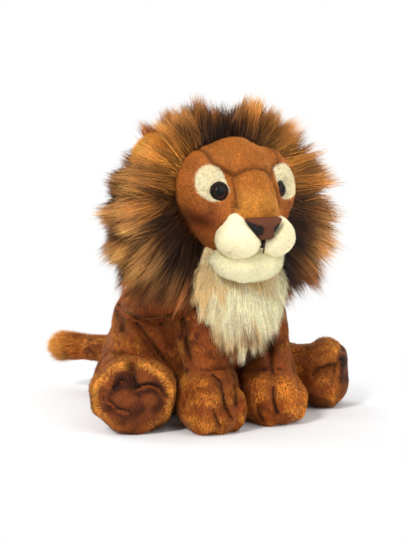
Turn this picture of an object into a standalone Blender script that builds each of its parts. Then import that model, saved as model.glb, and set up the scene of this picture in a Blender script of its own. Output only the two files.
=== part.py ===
"""Seated plush lion, built as the sewn toy is: covers, stuffing, face parts and limbs.

The lion faces -Y, its left side is +X and it rests on z = 0. All lengths are in metres.
Each sewn part is a plush cover with its own stuffing. The head turns and nods on a firm
wad in the neck, and the legs and the tail swing in round seats sewn into the torso.
"""

import math
from functools import partial

import bmesh
import bpy
from mathutils import Matrix, Vector
from mathutils.bvhtree import BVHTree

# Fits and cloth
SEAM_GAP = 0.0003          # air between two seated pieces
PLUSH_WALL = 0.0020        # backing cloth with the roots of its pile
SEAT_PRESS = 0.0005        # how deep a resting form is pressed flat
PANEL_THICKNESS = 0.0015   # appliqued face and sole panels
CUT_OVERRUN = 0.0200       # how far a cutter runs past what it cuts

# Torso
TORSO_HEIGHT = 0.158       # floor to neck seam
TORSO_HALF_WIDTH = 0.074
TORSO_HALF_DEPTH = 0.070
TORSO_LEAN = 0.045         # how far the neck stands ahead of the seat
PELLET_BAG_HEIGHT = 0.024
# height, lean, half width and half depth as shares of the sizes above
TORSO_SHARES = (
    (0.006, 0.00, 0.66, 0.66),
    (0.030, 0.00, 0.82, 0.82),
    (0.090, 0.00, 0.93, 0.93),
    (0.240, 0.00, 1.00, 1.00),
    (0.500, 0.08, 0.95, 0.95),
    (0.680, 0.33, 0.90, 0.87),
    (0.830, 0.62, 0.82, 0.75),
    (0.920, 0.82, 0.68, 0.64),
    (1.000, 1.00, 0.55, 0.53),
    (1.100, 1.10, 0.00, 0.00),
)
TORSO_SQUARENESS_SHARE = 2.5

# Neck wad
NECK_RADIUS = 0.034
NECK_PIVOT_RISE = 0.008    # pivot above the neck seam
NECK_COLLAR_ROOM = 0.022   # free ring round the wad under the head
NECK_NOD_ROOM = 0.0025     # free height over the shoulders beside the wad
NECK_NOD_SLOPE_SHARE = 0.20

# Head
HEAD_HALF_WIDTH = 0.062
HEAD_HALF_HEIGHT = 0.061
HEAD_REACH = 0.021         # skull centre ahead of the neck
HEAD_RISE = 0.047          # skull centre above the neck seam
HEAD_BACK_REACH = 0.056
HEAD_FACE_REACH = 0.061
HEAD_MUZZLE_DROP = 0.024
# reach back from the skull centre and half size, as shares
HEAD_BACK_SHARES = ((1.00, 0.00), (0.96, 0.32), (0.82, 0.68), (0.45, 0.93))
# reach forward, muzzle drop, half width and half height as shares
HEAD_FACE_SHARES = (
    (0.00, 0.00, 1.00, 1.00),
    (0.33, 0.08, 0.98, 1.00),
    (0.56, 0.24, 0.92, 0.94),
    (0.70, 0.42, 0.82, 0.84),
    (0.83, 0.66, 0.62, 0.70),
    (0.93, 0.90, 0.44, 0.48),
    (1.00, 1.00, 0.00, 0.00),
)
HEAD_SQUARENESS_SHARE = 2.4

# Face parts, each placed from the skull centre: reach forward, rise or drop
EYE_RADIUS = 0.0075
EYE_DOME_HEIGHT = 0.0062
EYE_HALF_SPACING = 0.0345
EYE_RISE = 0.013
EYE_SHANK_RADIUS = 0.0024
EYE_SHANK_LENGTH = 0.015
WASHER_RADIUS = 0.0080
WASHER_THICKNESS = 0.0016
WASHER_ROOM = 0.0018       # cloth curving behind the washer's rim
PATCH_HALF_WIDTH = 0.019
PATCH_HALF_HEIGHT = 0.018
PATCH_OUTWARD = 0.008      # patch centre outside and above the eye
PATCH_RISE = 0.006
BRIDGE_HALF_WIDTH = 0.021
FOREHEAD_HALF_WIDTH = 0.039
FOREHEAD_TOP_RISE = 0.057
FOREHEAD_BROW_RISE = 0.027
PANEL_EDGE_SHARE = 0.95    # panel's hidden edge, of the reach of the mane's front
BRIDGE_BOTTOM_DROP = 0.009
# half width and height of the panel's outline: bridge first, then forehead, as shares
BRIDGE_SHARES = ((0.72, 0.00), (0.95, 0.33), (1.00, 0.75), (1.15, 1.00))
FOREHEAD_SHARES = ((0.80, 0.33), (1.00, 0.67), (0.90, 1.00))
NOSE_HALF_WIDTH = 0.0215
NOSE_HALF_HEIGHT = 0.0115
NOSE_DROP = 0.0205
NOSE_DEPTH = 0.013
NOSE_TIP_REACH = 0.0735
NOSE_TOP_FLARE_SHARE = 0.42
NOSE_ROUNDING_SHARE = 0.6
NOSTRIL_RADIUS = 0.0038
MUZZLE_HALF_WIDTH = 0.0225
MUZZLE_HALF_DEPTH = 0.018
MUZZLE_HALF_HEIGHT = 0.021
MUZZLE_HALF_SPACING = 0.0205
MUZZLE_REACH = 0.053
MUZZLE_DROP = 0.029
CHIN_HALF_WIDTH = 0.033
CHIN_HALF_DEPTH = 0.019
CHIN_HALF_HEIGHT = 0.014
CHIN_REACH = 0.043
CHIN_DROP = 0.056

# Ears, mane and beard, placed from the skull centre too
EAR_HALF_WIDTH = 0.018
EAR_HALF_HEIGHT = 0.019
EAR_HALF_THICKNESS = 0.0065
EAR_HALF_SPACING = 0.061
EAR_RISE = 0.045
EAR_CUP_RADIUS = 0.030
EAR_SPLAY_DEG = 32.0
MANE_HALF_WIDTH = 0.126
MANE_HALF_HEIGHT = 0.095
MANE_HALF_DEPTH = 0.050
MANE_SETBACK = 0.023
MANE_DROP = 0.001
MANE_SQUARENESS_SHARE = 2.5
MANE_DEPTH_SHARES = ((-1.00, 0.00), (-0.90, 0.45), (-0.62, 0.82), (-0.22, 1.00), (0.25, 0.88),
                     (0.62, 0.70), (0.90, 0.42), (1.00, 0.00))
MANE_HOLLOW_RADIUS = 0.098  # free round space over the shoulders
MANE_HOLLOW_RISE = 0.018   # above the neck seam
MANE_HOLLOW_DROP = 0.058   # below the neck seam
BEARD_TOP_DROP = 0.055
BEARD_LENGTH = 0.092
BEARD_HALF_WIDTH = 0.052
BEARD_HALF_THICKNESS = 0.0085
BEARD_REACH = 0.041
BEARD_SHARES = ((0.00, 0.00, 0.00), (0.05, 0.62, 0.70), (0.22, 1.00, 1.00), (0.48, 0.88, 0.95),
                (0.72, 0.58, 0.85), (0.90, 0.26, 0.60), (1.00, 0.00, 0.00))

# Front legs
SHOULDER_HALF_SPAN = 0.038
SHOULDER_FORWARD = 0.072
SHOULDER_HEIGHT = 0.095
SHOULDER_RADIUS = 0.027
PAW_FORWARD = 0.030        # paw centre ahead of the shoulder
PAW_INWARD = 0.005
PAW_HALF_WIDTH = 0.027
PAW_HALF_LENGTH = 0.034
# height, forward, inward, half width and half length as shares, top to bottom
FRONT_LEG_SHARES = (
    (0.79, 0.12, 0.14, 0.95, 0.74),
    (0.60, 0.38, 0.45, 0.95, 0.78),
    (0.42, 0.75, 0.85, 1.00, 0.93),
    (0.26, 0.96, 1.00, 1.00, 1.00),
    (0.11, 1.00, 1.00, 0.97, 0.97),
    (0.03, 1.00, 1.00, 0.84, 0.84),
)

# Hind legs
HIP_HALF_SPAN = 0.060
HIP_FORWARD = 0.005
HIP_RADIUS = 0.033
HIND_SPLAY_DEG = 33.0
LEFT_ASIDE_DEG = 10.0      # how much farther aside the left leg lies
HIND_LEG_LENGTH = 0.096    # hip to sole
FOOT_HALF_WIDTH = 0.039
FOOT_HALF_HEIGHT = 0.036
# reach, half width and half height as shares of the leg and the foot
HIND_LEG_SHARES = (
    (0.30, 0.82, 0.90), (0.55, 0.83, 0.92), (0.78, 0.95, 0.99),
    (0.90, 1.00, 1.00), (0.96, 0.96, 0.96), (0.99, 0.80, 0.80), (1.00, 0.00, 0.00),
)
SOLE_PAD_SHARE = 0.74

# Tail
TAIL_BACK = 0.066          # pivot behind the seat centre
TAIL_HEIGHT = 0.047
TAIL_RADIUS = 0.0155
TAIL_LENGTH = 0.096        # pivot to the end of the stuffed tube
TAIL_SIDE_DEG = 25.0
TAIL_SWING_DEG = 12.0      # how much farther aside the tail can swing
TUFT_LENGTH = 0.036
TUFT_RADIUS = 0.0165
TUFT_LAP = 0.013           # tuft reaching back over the tube
TAIL_SHARES = ((0.25, 1.00), (0.60, 0.97), (0.88, 0.92), (0.97, 0.66), (1.00, 0.00))
TUFT_SHARES = ((0.00, 0.00), (0.04, 0.60), (0.20, 0.97), (0.50, 1.00), (0.80, 0.82),
               (0.94, 0.50), (1.00, 0.00))

# Seams
ROOT_TUCK_SHARE = 0.85     # limb end inside the ball that it swings on
MOUTH_SHARE = 0.4          # turning hole at the root of each stuffed limb
SQUARE_ROUND_SHARE = 2.0

# Mesh fineness
RING_POINTS = 20
LIMB_POINTS = 16
TORSO_STEPS = 11
HEAD_STEPS = 12
LIMB_STEPS = 9
BALL_POINTS = 14
SEAT_POINTS = 20
SMALL_POINTS = 12
INNER_POINTS = 12          # linings and stuffing inside the limbs
INNER_STEPS = 7

X_AXIS = Vector((1, 0, 0))
Y_AXIS = Vector((0, 1, 0))
Z_AXIS = Vector((0, 0, 1))

MATERIALS = {}


# Tools

def clear_scene():
    for item in list(bpy.data.objects):
        bpy.data.objects.remove(item, do_unlink=True)


def material(name, colour, roughness, metallic=0.0):
    if name not in MATERIALS:
        made = bpy.data.materials.new(name)
        made.use_nodes = True
        shader = made.node_tree.nodes["Principled BSDF"]
        shader.inputs["Base Color"].default_value = (*colour, 1.0)
        shader.inputs["Roughness"].default_value = roughness
        shader.inputs["Metallic"].default_value = metallic
        MATERIALS[name] = made
    return MATERIALS[name]


def face_out(bm):
    """Turn every face of a closed mesh outwards, however small the mesh is."""
    bmesh.ops.recalc_face_normals(bm, faces=bm.faces)
    if bm.calc_volume(signed=True) < 0:
        bmesh.ops.reverse_faces(bm, faces=bm.faces)


def finish(name, bm, surface=None):
    """Turn a closed bmesh into an object: a piece with its material, or a hidden guide."""
    face_out(bm)
    mesh = bpy.data.meshes.new(name)
    bm.to_mesh(mesh)
    bm.free()
    mesh.shade_smooth()
    made = bpy.data.objects.new(name, mesh)
    bpy.context.collection.objects.link(made)
    if surface is None:
        made.hide_render = True
        made.display_type = "WIRE"
    else:
        made.data.materials.append(surface)
    return made


def smooth_slopes(places, values):
    """Slopes of a curve through the values that never overshoots them."""
    steps = [b - a for a, b in zip(places, places[1:])]
    rises = [(b - a) / s for a, b, s in zip(values, values[1:], steps)]
    slopes = [rises[0]]
    for before, after, step_a, step_b in zip(rises, rises[1:], steps, steps[1:]):
        if before * after <= 0:
            slopes.append(0.0)
        else:
            weight_a = 2 * step_b + step_a
            weight_b = step_b + 2 * step_a
            slopes.append((weight_a + weight_b) / (weight_a / before + weight_b / after))
    slopes.append(rises[-1])
    return slopes


def between(places, values, slopes, at):
    """Value of the smooth curve at one place."""
    index = 0
    while index < len(places) - 2 and at > places[index + 1]:
        index += 1
    step = places[index + 1] - places[index]
    t = min(max((at - places[index]) / step, 0.0), 1.0)
    first = (1 + 2 * t) * (1 - t) ** 2 * values[index] + t * (1 - t) ** 2 * step * slopes[index]
    second = t * t * (3 - 2 * t) * values[index + 1] - t * t * (1 - t) * step * slopes[index + 1]
    return first + second


def resample(stations, steps):
    """Stations of (along, across, up, half across, half up) spread evenly, closer at the ends.

    Half sizes are blended by their squares, so a station of zero closes the form in a dome.
    """
    places = [row[0] for row in stations]
    columns = [[row[1] for row in stations], [row[2] for row in stations],
               [row[3] ** 2 for row in stations], [row[4] ** 2 for row in stations]]
    slopes = [smooth_slopes(places, column) for column in columns]
    rows = []
    for step in range(steps + 1):
        share = (1 - math.cos(math.pi * step / steps)) / 2
        at = places[0] + (places[-1] - places[0]) * share
        values = [between(places, column, slope, at) for column, slope in zip(columns, slopes)]
        rows.append((at, values[0], values[1],
                     math.sqrt(max(values[2], 0)), math.sqrt(max(values[3], 0))))
    return rows


def ring_point(angle, half_across, half_up, squareness):
    """Point of a rounded square: squareness 2 is an ellipse, more is squarer."""
    power = 2 / squareness
    cosine, sine = math.cos(angle), math.sin(angle)
    return (math.copysign(abs(cosine) ** power, cosine) * half_across,
            math.copysign(abs(sine) ** power, sine) * half_up)


def loft(name, frame, stations, squareness, points, steps, grow=0.0, surface=None):
    """Closed soft form of rings along a frame, grown or (below zero) shrunk along its normals.

    The frame is (origin, across, up, along).
    """
    origin, across, up, along = frame
    rows = resample(stations, steps)
    bm = bmesh.new()
    rings = []
    for at, shift_across, shift_up, half_across, half_up in rows[1:-1]:
        centre = origin + along * at + across * shift_across + up * shift_up
        ring = []
        for index in range(points):
            angle = 2 * math.pi * index / points
            a, b = ring_point(angle, half_across, half_up, squareness)
            ring.append(bm.verts.new(centre + across * a + up * b))
        rings.append(ring)
    for lower, upper in zip(rings, rings[1:]):
        for index in range(points):
            after = (index + 1) % points
            bm.faces.new((lower[index], lower[after], upper[after], upper[index]))
    for row, ring in ((rows[0], rings[0]), (rows[-1], rings[-1])):
        pole = bm.verts.new(origin + along * row[0] + across * row[1] + up * row[2])
        for index in range(points):
            bm.faces.new((pole, ring[index], ring[(index + 1) % points]))
    bmesh.ops.triangulate(bm, faces=bm.faces, quad_method="FIXED")
    face_out(bm)
    if grow:
        bm.normal_update()
        for vert in bm.verts:
            vert.co += vert.normal * grow
    return finish(name, bm, surface)


def ellipsoid(name, centre, half_sizes, turn=None, points=BALL_POINTS, surface=None):
    """Ellipsoid on its own axes, turned by a 3 by 3 matrix."""
    bm = bmesh.new()
    bmesh.ops.create_uvsphere(bm, u_segments=points, v_segments=points // 2, radius=1.0)
    place = Matrix.Translation(centre)
    if turn is not None:
        place = place @ turn.to_4x4()
    bm.transform(place @ Matrix.Diagonal((*half_sizes, 1.0)))
    return finish(name, bm, surface)


def ball(name, centre, radius, around=False, surface=None):
    """Faceted ball inside the radius, or one that goes around it for a seat."""
    if around:
        radius = radius / math.cos(math.pi / SEAT_POINTS) ** 2
    return ellipsoid(name, centre, (radius, radius, radius), points=SEAT_POINTS, surface=surface)


def rod(name, start, end, radius, points=BALL_POINTS, surface=None):
    bm = bmesh.new()
    length = (end - start).length
    bmesh.ops.create_cone(bm, cap_ends=True, segments=points, radius1=radius, radius2=radius,
                          depth=length)
    turn = Z_AXIS.rotation_difference(end - start).to_matrix().to_4x4()
    bm.transform(Matrix.Translation((start + end) / 2) @ turn)
    return finish(name, bm, surface)


def block(name, low, high):
    bm = bmesh.new()
    bmesh.ops.create_cube(bm, size=1.0)
    bm.transform(Matrix.Translation((low + high) / 2) @ Matrix.Diagonal((*(high - low), 1.0)))
    return finish(name, bm)


def turned(name, centre, profile, points):
    """Solid turned about the vertical line through a point, from (radius, height) pairs."""
    bm = bmesh.new()
    rings = []
    for radius, height in profile:
        if radius == 0:
            rings.append([bm.verts.new((centre.x, centre.y, height))])
            continue
        rings.append([bm.verts.new((centre.x + radius * math.cos(2 * math.pi * i / points),
                                    centre.y + radius * math.sin(2 * math.pi * i / points),
                                    height)) for i in range(points)])
    for lower, upper in zip(rings, rings[1:]):
        for i in range(points):
            j = (i + 1) % points
            corners = [lower[i % len(lower)], lower[j % len(lower)],
                       upper[j % len(upper)], upper[i % len(upper)]]
            bm.faces.new(list(dict.fromkeys(corners)))
    return finish(name, bm)


def plate(name, outline, low_y, high_y):
    """Prism through an (x, z) outline, between two planes across Y."""
    bm = bmesh.new()
    near = [bm.verts.new((x, low_y, z)) for x, z in outline]
    far = [bm.verts.new((x, high_y, z)) for x, z in outline]
    bm.faces.new(near)
    bm.faces.new(list(reversed(far)))
    for index in range(len(outline)):
        after = (index + 1) % len(outline)
        bm.faces.new((near[index], far[index], far[after], near[after]))
    return finish(name, bm)


def combine(piece, other, operation):
    step = piece.modifiers.new(operation.lower() + "_" + other.name, "BOOLEAN")
    step.operation = operation
    step.object = other
    step.solver = "EXACT"


def cut(piece, *others):
    for other in others:
        combine(piece, other, "DIFFERENCE")


def keep(piece, other):
    combine(piece, other, "INTERSECT")


def pivot(name, place, parent=None):
    """Empty on a joint's axis, which carries what moves with the joint."""
    made = bpy.data.objects.new(name, None)
    bpy.context.collection.objects.link(made)
    made.matrix_world = Matrix.Translation(place)
    bpy.context.view_layer.update()
    if parent is not None:
        attach(made, parent)
    return made


def attach(piece, carrier):
    piece.parent = carrier
    piece.matrix_parent_inverse = carrier.matrix_world.inverted()


def side_name(side):
    return "left" if side > 0 else "right"


# Colours
RUST = (0.26, 0.075, 0.022)
GOLDEN = (0.42, 0.15, 0.035)
CREAM = (0.86, 0.76, 0.52)
MANE_BROWN = (0.14, 0.055, 0.022)
NOSE_BROWN = (0.09, 0.035, 0.022)
SOLE_BROWN = (0.15, 0.045, 0.016)
WADDING_WHITE = (0.85, 0.85, 0.83)
PELLET_CLOTH = (0.62, 0.60, 0.55)
EYE_BLACK = (0.012, 0.008, 0.006)
WASHER_WHITE = (0.80, 0.80, 0.78)

clear_scene()

rust_plush = material("rust_plush", RUST, 0.9)
golden_plush = material("golden_plush", GOLDEN, 0.9)
cream_plush = material("cream_plush", CREAM, 0.9)
mane_pile = material("mane_pile", MANE_BROWN, 0.8)
beard_pile = material("beard_pile", CREAM, 0.8)
nose_flock = material("nose_flock", NOSE_BROWN, 0.8)
sole_plush = material("sole_plush", SOLE_BROWN, 0.9)
wadding = material("wadding", WADDING_WHITE, 0.95)
pellet_cloth = material("pellet_cloth", PELLET_CLOTH, 0.9)
eye_plastic = material("eye_plastic", EYE_BLACK, 0.08)
washer_plastic = material("washer_plastic", WASHER_WHITE, 0.45)

# Points that the pieces share
neck_point = Vector((0, -TORSO_LEAN, TORSO_HEIGHT + NECK_PIVOT_RISE))
head_forward = TORSO_LEAN + HEAD_REACH
head_height = TORSO_HEIGHT + HEAD_RISE
mane_forward = head_forward - MANE_SETBACK
tail_point = Vector((0, TAIL_BACK, TAIL_HEIGHT))
hip_height = FOOT_HALF_HEIGHT - SEAT_PRESS
toy_reach = HIP_HALF_SPAN + HIND_LEG_LENGTH + TORSO_HALF_WIDTH


def shoulder_point(side):
    return Vector((side * SHOULDER_HALF_SPAN, -SHOULDER_FORWARD, SHOULDER_HEIGHT))


def hip_point(side):
    return Vector((side * HIP_HALF_SPAN, -HIP_FORWARD, hip_height))


def aside_deg(side):
    """How much farther aside than the right hind leg a hind leg lies."""
    return LEFT_ASIDE_DEG if side > 0 else 0.0


def hind_direction(side):
    splay = math.radians(HIND_SPLAY_DEG + aside_deg(side))
    return Vector((side * math.sin(splay), -math.cos(splay), 0))


def tail_direction():
    aside = math.radians(TAIL_SIDE_DEG)
    return Vector((-math.sin(aside), math.cos(aside), 0))


# Stations of each soft form

def torso_form(name, grow=0.0, surface=None):
    rows = [(-SEAT_PRESS, 0, 0, 0, 0)]
    for height, lean, width, depth in TORSO_SHARES:
        rows.append((height * TORSO_HEIGHT, 0, -lean * TORSO_LEAN,
                     width * TORSO_HALF_WIDTH, depth * TORSO_HALF_DEPTH))
    frame = (Vector((0, 0, 0)), X_AXIS, Y_AXIS, Z_AXIS)
    return loft(name, frame, rows, TORSO_SQUARENESS_SHARE, RING_POINTS, TORSO_STEPS, grow, surface)


def head_form(name, grow=0.0, surface=None):
    rows = []
    for reach, size in HEAD_BACK_SHARES:
        rows.append((-reach * HEAD_BACK_REACH, 0, 0,
                     size * HEAD_HALF_WIDTH, size * HEAD_HALF_HEIGHT))
    for reach, drop, width, height in HEAD_FACE_SHARES:
        rows.append((reach * HEAD_FACE_REACH, 0, -drop * HEAD_MUZZLE_DROP,
                     width * HEAD_HALF_WIDTH, height * HEAD_HALF_HEIGHT))
    frame = (Vector((0, -head_forward, head_height)), X_AXIS, Z_AXIS, -Y_AXIS)
    return loft(name, frame, rows, HEAD_SQUARENESS_SHARE, RING_POINTS, HEAD_STEPS, grow, surface)


def round_end_rows(ball_radius, steps=3):
    """Stations of the limb's own end, tucked inside the ball at its root."""
    radius = ball_radius * ROOT_TUCK_SHARE
    rows = []
    for step in range(steps):
        angle = math.pi / 2 * step / steps
        rows.append((-radius * math.cos(angle), 0, 0,
                     radius * math.sin(angle), radius * math.sin(angle)))
    rows.append((0, 0, 0, radius, radius))
    return rows


def limb_fineness(grow):
    """Ring points and steps: the inside of a limb is plainer than its skin."""
    return (INNER_POINTS, INNER_STEPS) if grow < 0 else (LIMB_POINTS, LIMB_STEPS)


def front_leg_form(side, name, grow=0.0, surface=None):
    rows = round_end_rows(SHOULDER_RADIUS)
    for height, forward, inward, width, length in FRONT_LEG_SHARES:
        rows.append(((1 - height) * SHOULDER_HEIGHT, -inward * PAW_INWARD, forward * PAW_FORWARD,
                     width * PAW_HALF_WIDTH, length * PAW_HALF_LENGTH))
    rows.append((SHOULDER_HEIGHT + SEAT_PRESS, -PAW_INWARD, PAW_FORWARD, 0, 0))
    frame = (shoulder_point(side), X_AXIS * side, -Y_AXIS, -Z_AXIS)
    return loft(name, frame, rows, SQUARE_ROUND_SHARE, *limb_fineness(grow), grow, surface)


def hind_leg_form(side, name, grow=0.0, surface=None):
    rows = round_end_rows(HIP_RADIUS)
    for reach, width, height in HIND_LEG_SHARES:
        rows.append((reach * HIND_LEG_LENGTH, 0, 0,
                     width * FOOT_HALF_WIDTH, height * FOOT_HALF_HEIGHT))
    along = hind_direction(side)
    frame = (hip_point(side), along.cross(Z_AXIS), Z_AXIS, along)
    return loft(name, frame, rows, SQUARE_ROUND_SHARE, *limb_fineness(grow), grow, surface)


def tail_form(name, grow=0.0, surface=None):
    rows = round_end_rows(TAIL_RADIUS)
    for reach, size in TAIL_SHARES:
        rows.append((reach * TAIL_LENGTH, 0, 0, size * TAIL_RADIUS, size * TAIL_RADIUS))
    along = tail_direction()
    frame = (tail_point, along.cross(Z_AXIS), Z_AXIS, along)
    return loft(name, frame, rows, SQUARE_ROUND_SHARE, SMALL_POINTS, LIMB_STEPS, grow, surface)


# Guides that several pieces share
floor_guide = block("floor_guide", Vector((-toy_reach, -toy_reach, -CUT_OVERRUN)),
                    Vector((toy_reach, toy_reach, 0)))
above_neck = block("above_neck_guide",
                   Vector((-toy_reach, -toy_reach, TORSO_HEIGHT)),
                   Vector((toy_reach, toy_reach, TORSO_HEIGHT + head_height)))
above_bag = block("above_bag_guide",
                  Vector((-toy_reach, -toy_reach, PELLET_BAG_HEIGHT)),
                  Vector((toy_reach, toy_reach, TORSO_HEIGHT + head_height)))
below_stuffing = block("below_stuffing_guide",
                       Vector((-toy_reach, -toy_reach, -CUT_OVERRUN)),
                       Vector((toy_reach, toy_reach, PELLET_BAG_HEIGHT + SEAM_GAP)))

limb_seats = [ball("tail_seat_guide", tail_point, TAIL_RADIUS + SEAM_GAP, around=True)]
for side in (1, -1):
    limb_seats.append(ball(side_name(side) + "_shoulder_seat_guide", shoulder_point(side),
                           SHOULDER_RADIUS + SEAM_GAP, around=True))
    limb_seats.append(ball(side_name(side) + "_hip_seat_guide", hip_point(side),
                           HIP_RADIUS + SEAM_GAP, around=True))

# Torso: cover, stuffing and the pellet bag that weights the seat
torso_cover = torso_form("torso_cover", 0.0, rust_plush)
cut(torso_cover, torso_form("torso_lining_guide", -PLUSH_WALL), floor_guide, above_neck,
    *limb_seats)

torso_stuffing = torso_form("torso_stuffing", -(PLUSH_WALL + SEAM_GAP), wadding)
cut(torso_stuffing, above_neck, below_stuffing, *limb_seats)

pellet_bag = torso_form("seat_pellet_bag", -(PLUSH_WALL + SEAM_GAP), pellet_cloth)
cut(pellet_bag, above_bag, *limb_seats)

# Neck: a firm wad that turns on the torso and lets the head nod over it
neck_pivot = pivot("neck_turn_pivot", neck_point)
half_facet = math.pi / SEAT_POINTS
facet_turn = Matrix.Rotation(half_facet, 3, "Z") @ Matrix.Rotation(half_facet, 3, "X")
neck_stuffing = ellipsoid("neck_stuffing", neck_point, (NECK_RADIUS, NECK_RADIUS, NECK_RADIUS),
                          facet_turn, SEAT_POINTS, wadding)
below_wad = block("below_wad_guide",
                  Vector((-toy_reach, -toy_reach, 0)),
                  Vector((toy_reach, toy_reach, TORSO_HEIGHT + SEAM_GAP)))
cut(neck_stuffing, below_wad)
attach(neck_stuffing, neck_pivot)

# Head: cover and stuffing over the neck wad
head_pivot = pivot("head_nod_pivot", neck_point, neck_pivot)
neck_cup = ball("neck_cup_guide", neck_point, NECK_RADIUS + SEAM_GAP, around=True)
collar_radius = NECK_RADIUS + NECK_COLLAR_ROOM
collar_floor = TORSO_HEIGHT + NECK_NOD_ROOM
collar = turned("collar_guide", neck_point, (
    (0, -CUT_OVERRUN),
    (collar_radius, -CUT_OVERRUN),
    (collar_radius, collar_floor + NECK_NOD_SLOPE_SHARE * collar_radius),
    (0, collar_floor),
), BALL_POINTS)

head_cover = head_form("head_cover", 0.0, rust_plush)
cut(head_cover, head_form("head_lining_guide", -PLUSH_WALL), neck_cup, collar)
attach(head_cover, head_pivot)

head_stuffing = head_form("head_stuffing", -(PLUSH_WALL + SEAM_GAP), wadding)
cut(head_stuffing, neck_cup, collar)
attach(head_stuffing, head_pivot)

# Surfaces that the face panels lie on and end at
panel_bed = head_form("panel_bed_guide", SEAM_GAP)
panel_face = head_form("panel_face_guide", SEAM_GAP + PANEL_THICKNESS)
bpy.context.view_layer.update()
face_tree = BVHTree.FromObject(panel_face, bpy.context.evaluated_depsgraph_get())


def on_face(x, z):
    """Point and outward normal of the panels' outer surface, seen from the front."""
    start = Vector((x, -(head_forward + 2 * HEAD_FACE_REACH), z))
    place, normal, _, _ = face_tree.ray_cast(start, Y_AXIS)
    return place, normal


# Eyes on their washers, each over a cream patch
patch_guides = []
for side in (1, -1):
    label = side_name(side)
    place, normal = on_face(side * EYE_HALF_SPACING, head_height + EYE_RISE)
    turn = Z_AXIS.rotation_difference(normal).to_matrix()
    back = place + normal * SEAM_GAP * 2
    eye = ellipsoid(label + "_eye", back, (EYE_RADIUS, EYE_RADIUS, EYE_DOME_HEIGHT), turn,
                    surface=eye_plastic)
    behind = rod(label + "_eye_back_guide", back, back - normal * EYE_DOME_HEIGHT * 2,
                 EYE_RADIUS * 2)
    shank_end = back - normal * EYE_SHANK_LENGTH
    shank = rod(label + "_shank_guide", back + normal * EYE_DOME_HEIGHT / 2, shank_end,
                EYE_SHANK_RADIUS, SMALL_POINTS)
    cut(eye, behind)
    combine(eye, shank, "UNION")
    attach(eye, head_pivot)

    washer_depth = SEAM_GAP * 3 + PANEL_THICKNESS + PLUSH_WALL + WASHER_ROOM
    washer_face = back - normal * washer_depth
    washer_back = washer_face - normal * WASHER_THICKNESS
    hole = rod(label + "_shank_hole_guide", back + normal * EYE_DOME_HEIGHT,
               shank_end - normal * SEAM_GAP, EYE_SHANK_RADIUS + SEAM_GAP, SMALL_POINTS)
    pocket = rod(label + "_washer_pocket_guide", back, washer_back - normal * SEAM_GAP,
                 WASHER_RADIUS + SEAM_GAP)
    washer = rod(label + "_eye_washer", washer_face, washer_back, WASHER_RADIUS,
                 surface=washer_plastic)
    cut(washer, hole)
    attach(washer, head_pivot)
    cut(head_cover, hole)
    cut(head_stuffing, hole, pocket)

    patch_place, patch_normal = on_face(side * (EYE_HALF_SPACING + PATCH_OUTWARD),
                                        head_height + EYE_RISE + PATCH_RISE)
    patch_turn = Z_AXIS.rotation_difference(patch_normal).to_matrix()
    patch_sizes = (PATCH_HALF_WIDTH, PATCH_HALF_HEIGHT, PATCH_HALF_HEIGHT)
    patch = head_form(label + "_eye_patch", SEAM_GAP + PANEL_THICKNESS, cream_plush)
    keep(patch, ellipsoid(label + "_patch_guide", patch_place, patch_sizes, patch_turn))
    cut(patch, panel_bed, hole)
    attach(patch, head_pivot)
    room = [size + SEAM_GAP * 2 for size in patch_sizes]
    patch_guides.append(ellipsoid(label + "_patch_room_guide", patch_place, room, patch_turn))

# Nose with two nostril dents
nose_tip_forward = head_forward + NOSE_TIP_REACH
nose_centre = Vector((0, -(nose_tip_forward - NOSE_DEPTH / 2), head_height - NOSE_DROP))


def nose_form(name, grow=0.0, surface=None):
    """Rounded triangle, wider at the top, swelling forward."""
    bm = bmesh.new()
    steps = INNER_STEPS
    turns = [2 * math.pi * index / LIMB_POINTS for index in range(LIMB_POINTS)]
    flares = [1 + NOSE_TOP_FLARE_SHARE * math.sin(turn) for turn in turns]
    widest = max(flare * math.cos(turn) for flare, turn in zip(flares, turns))
    rings = []
    for step in range(1, steps):
        angle = math.pi * step / steps
        size = math.sin(angle) ** NOSE_ROUNDING_SHARE
        depth = -math.cos(angle) * NOSE_DEPTH / 2
        ring = []
        for turn, flare in zip(turns, flares):
            across = NOSE_HALF_WIDTH * math.cos(turn) * flare / widest
            up = NOSE_HALF_HEIGHT * math.sin(turn)
            ring.append(bm.verts.new((across * size, nose_centre.y - depth,
                                      nose_centre.z + up * size)))
        rings.append(ring)
    for lower, upper in zip(rings, rings[1:]):
        for index in range(LIMB_POINTS):
            after = (index + 1) % LIMB_POINTS
            bm.faces.new((lower[index], lower[after], upper[after], upper[index]))
    bm.faces.new(rings[0])
    bm.faces.new(list(reversed(rings[-1])))
    face_out(bm)
    bm.normal_update()
    for vert in bm.verts:
        vert.co += vert.normal * grow
    return finish(name, bm, surface)


nose = nose_form("nose", 0.0, nose_flock)
cut(nose, panel_bed)
for side in (1, -1):
    nostril = Vector((side * NOSE_HALF_WIDTH / 2, -nose_tip_forward + NOSTRIL_RADIUS / 2,
                      nose_centre.z - NOSE_HALF_HEIGHT / 3))
    cut(nose, ellipsoid(side_name(side) + "_nostril_guide", nostril,
                        (NOSTRIL_RADIUS, NOSTRIL_RADIUS / 2, NOSTRIL_RADIUS / 2),
                        points=SMALL_POINTS))
attach(nose, head_pivot)
nose_room = nose_form("nose_room_guide", SEAM_GAP)

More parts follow.
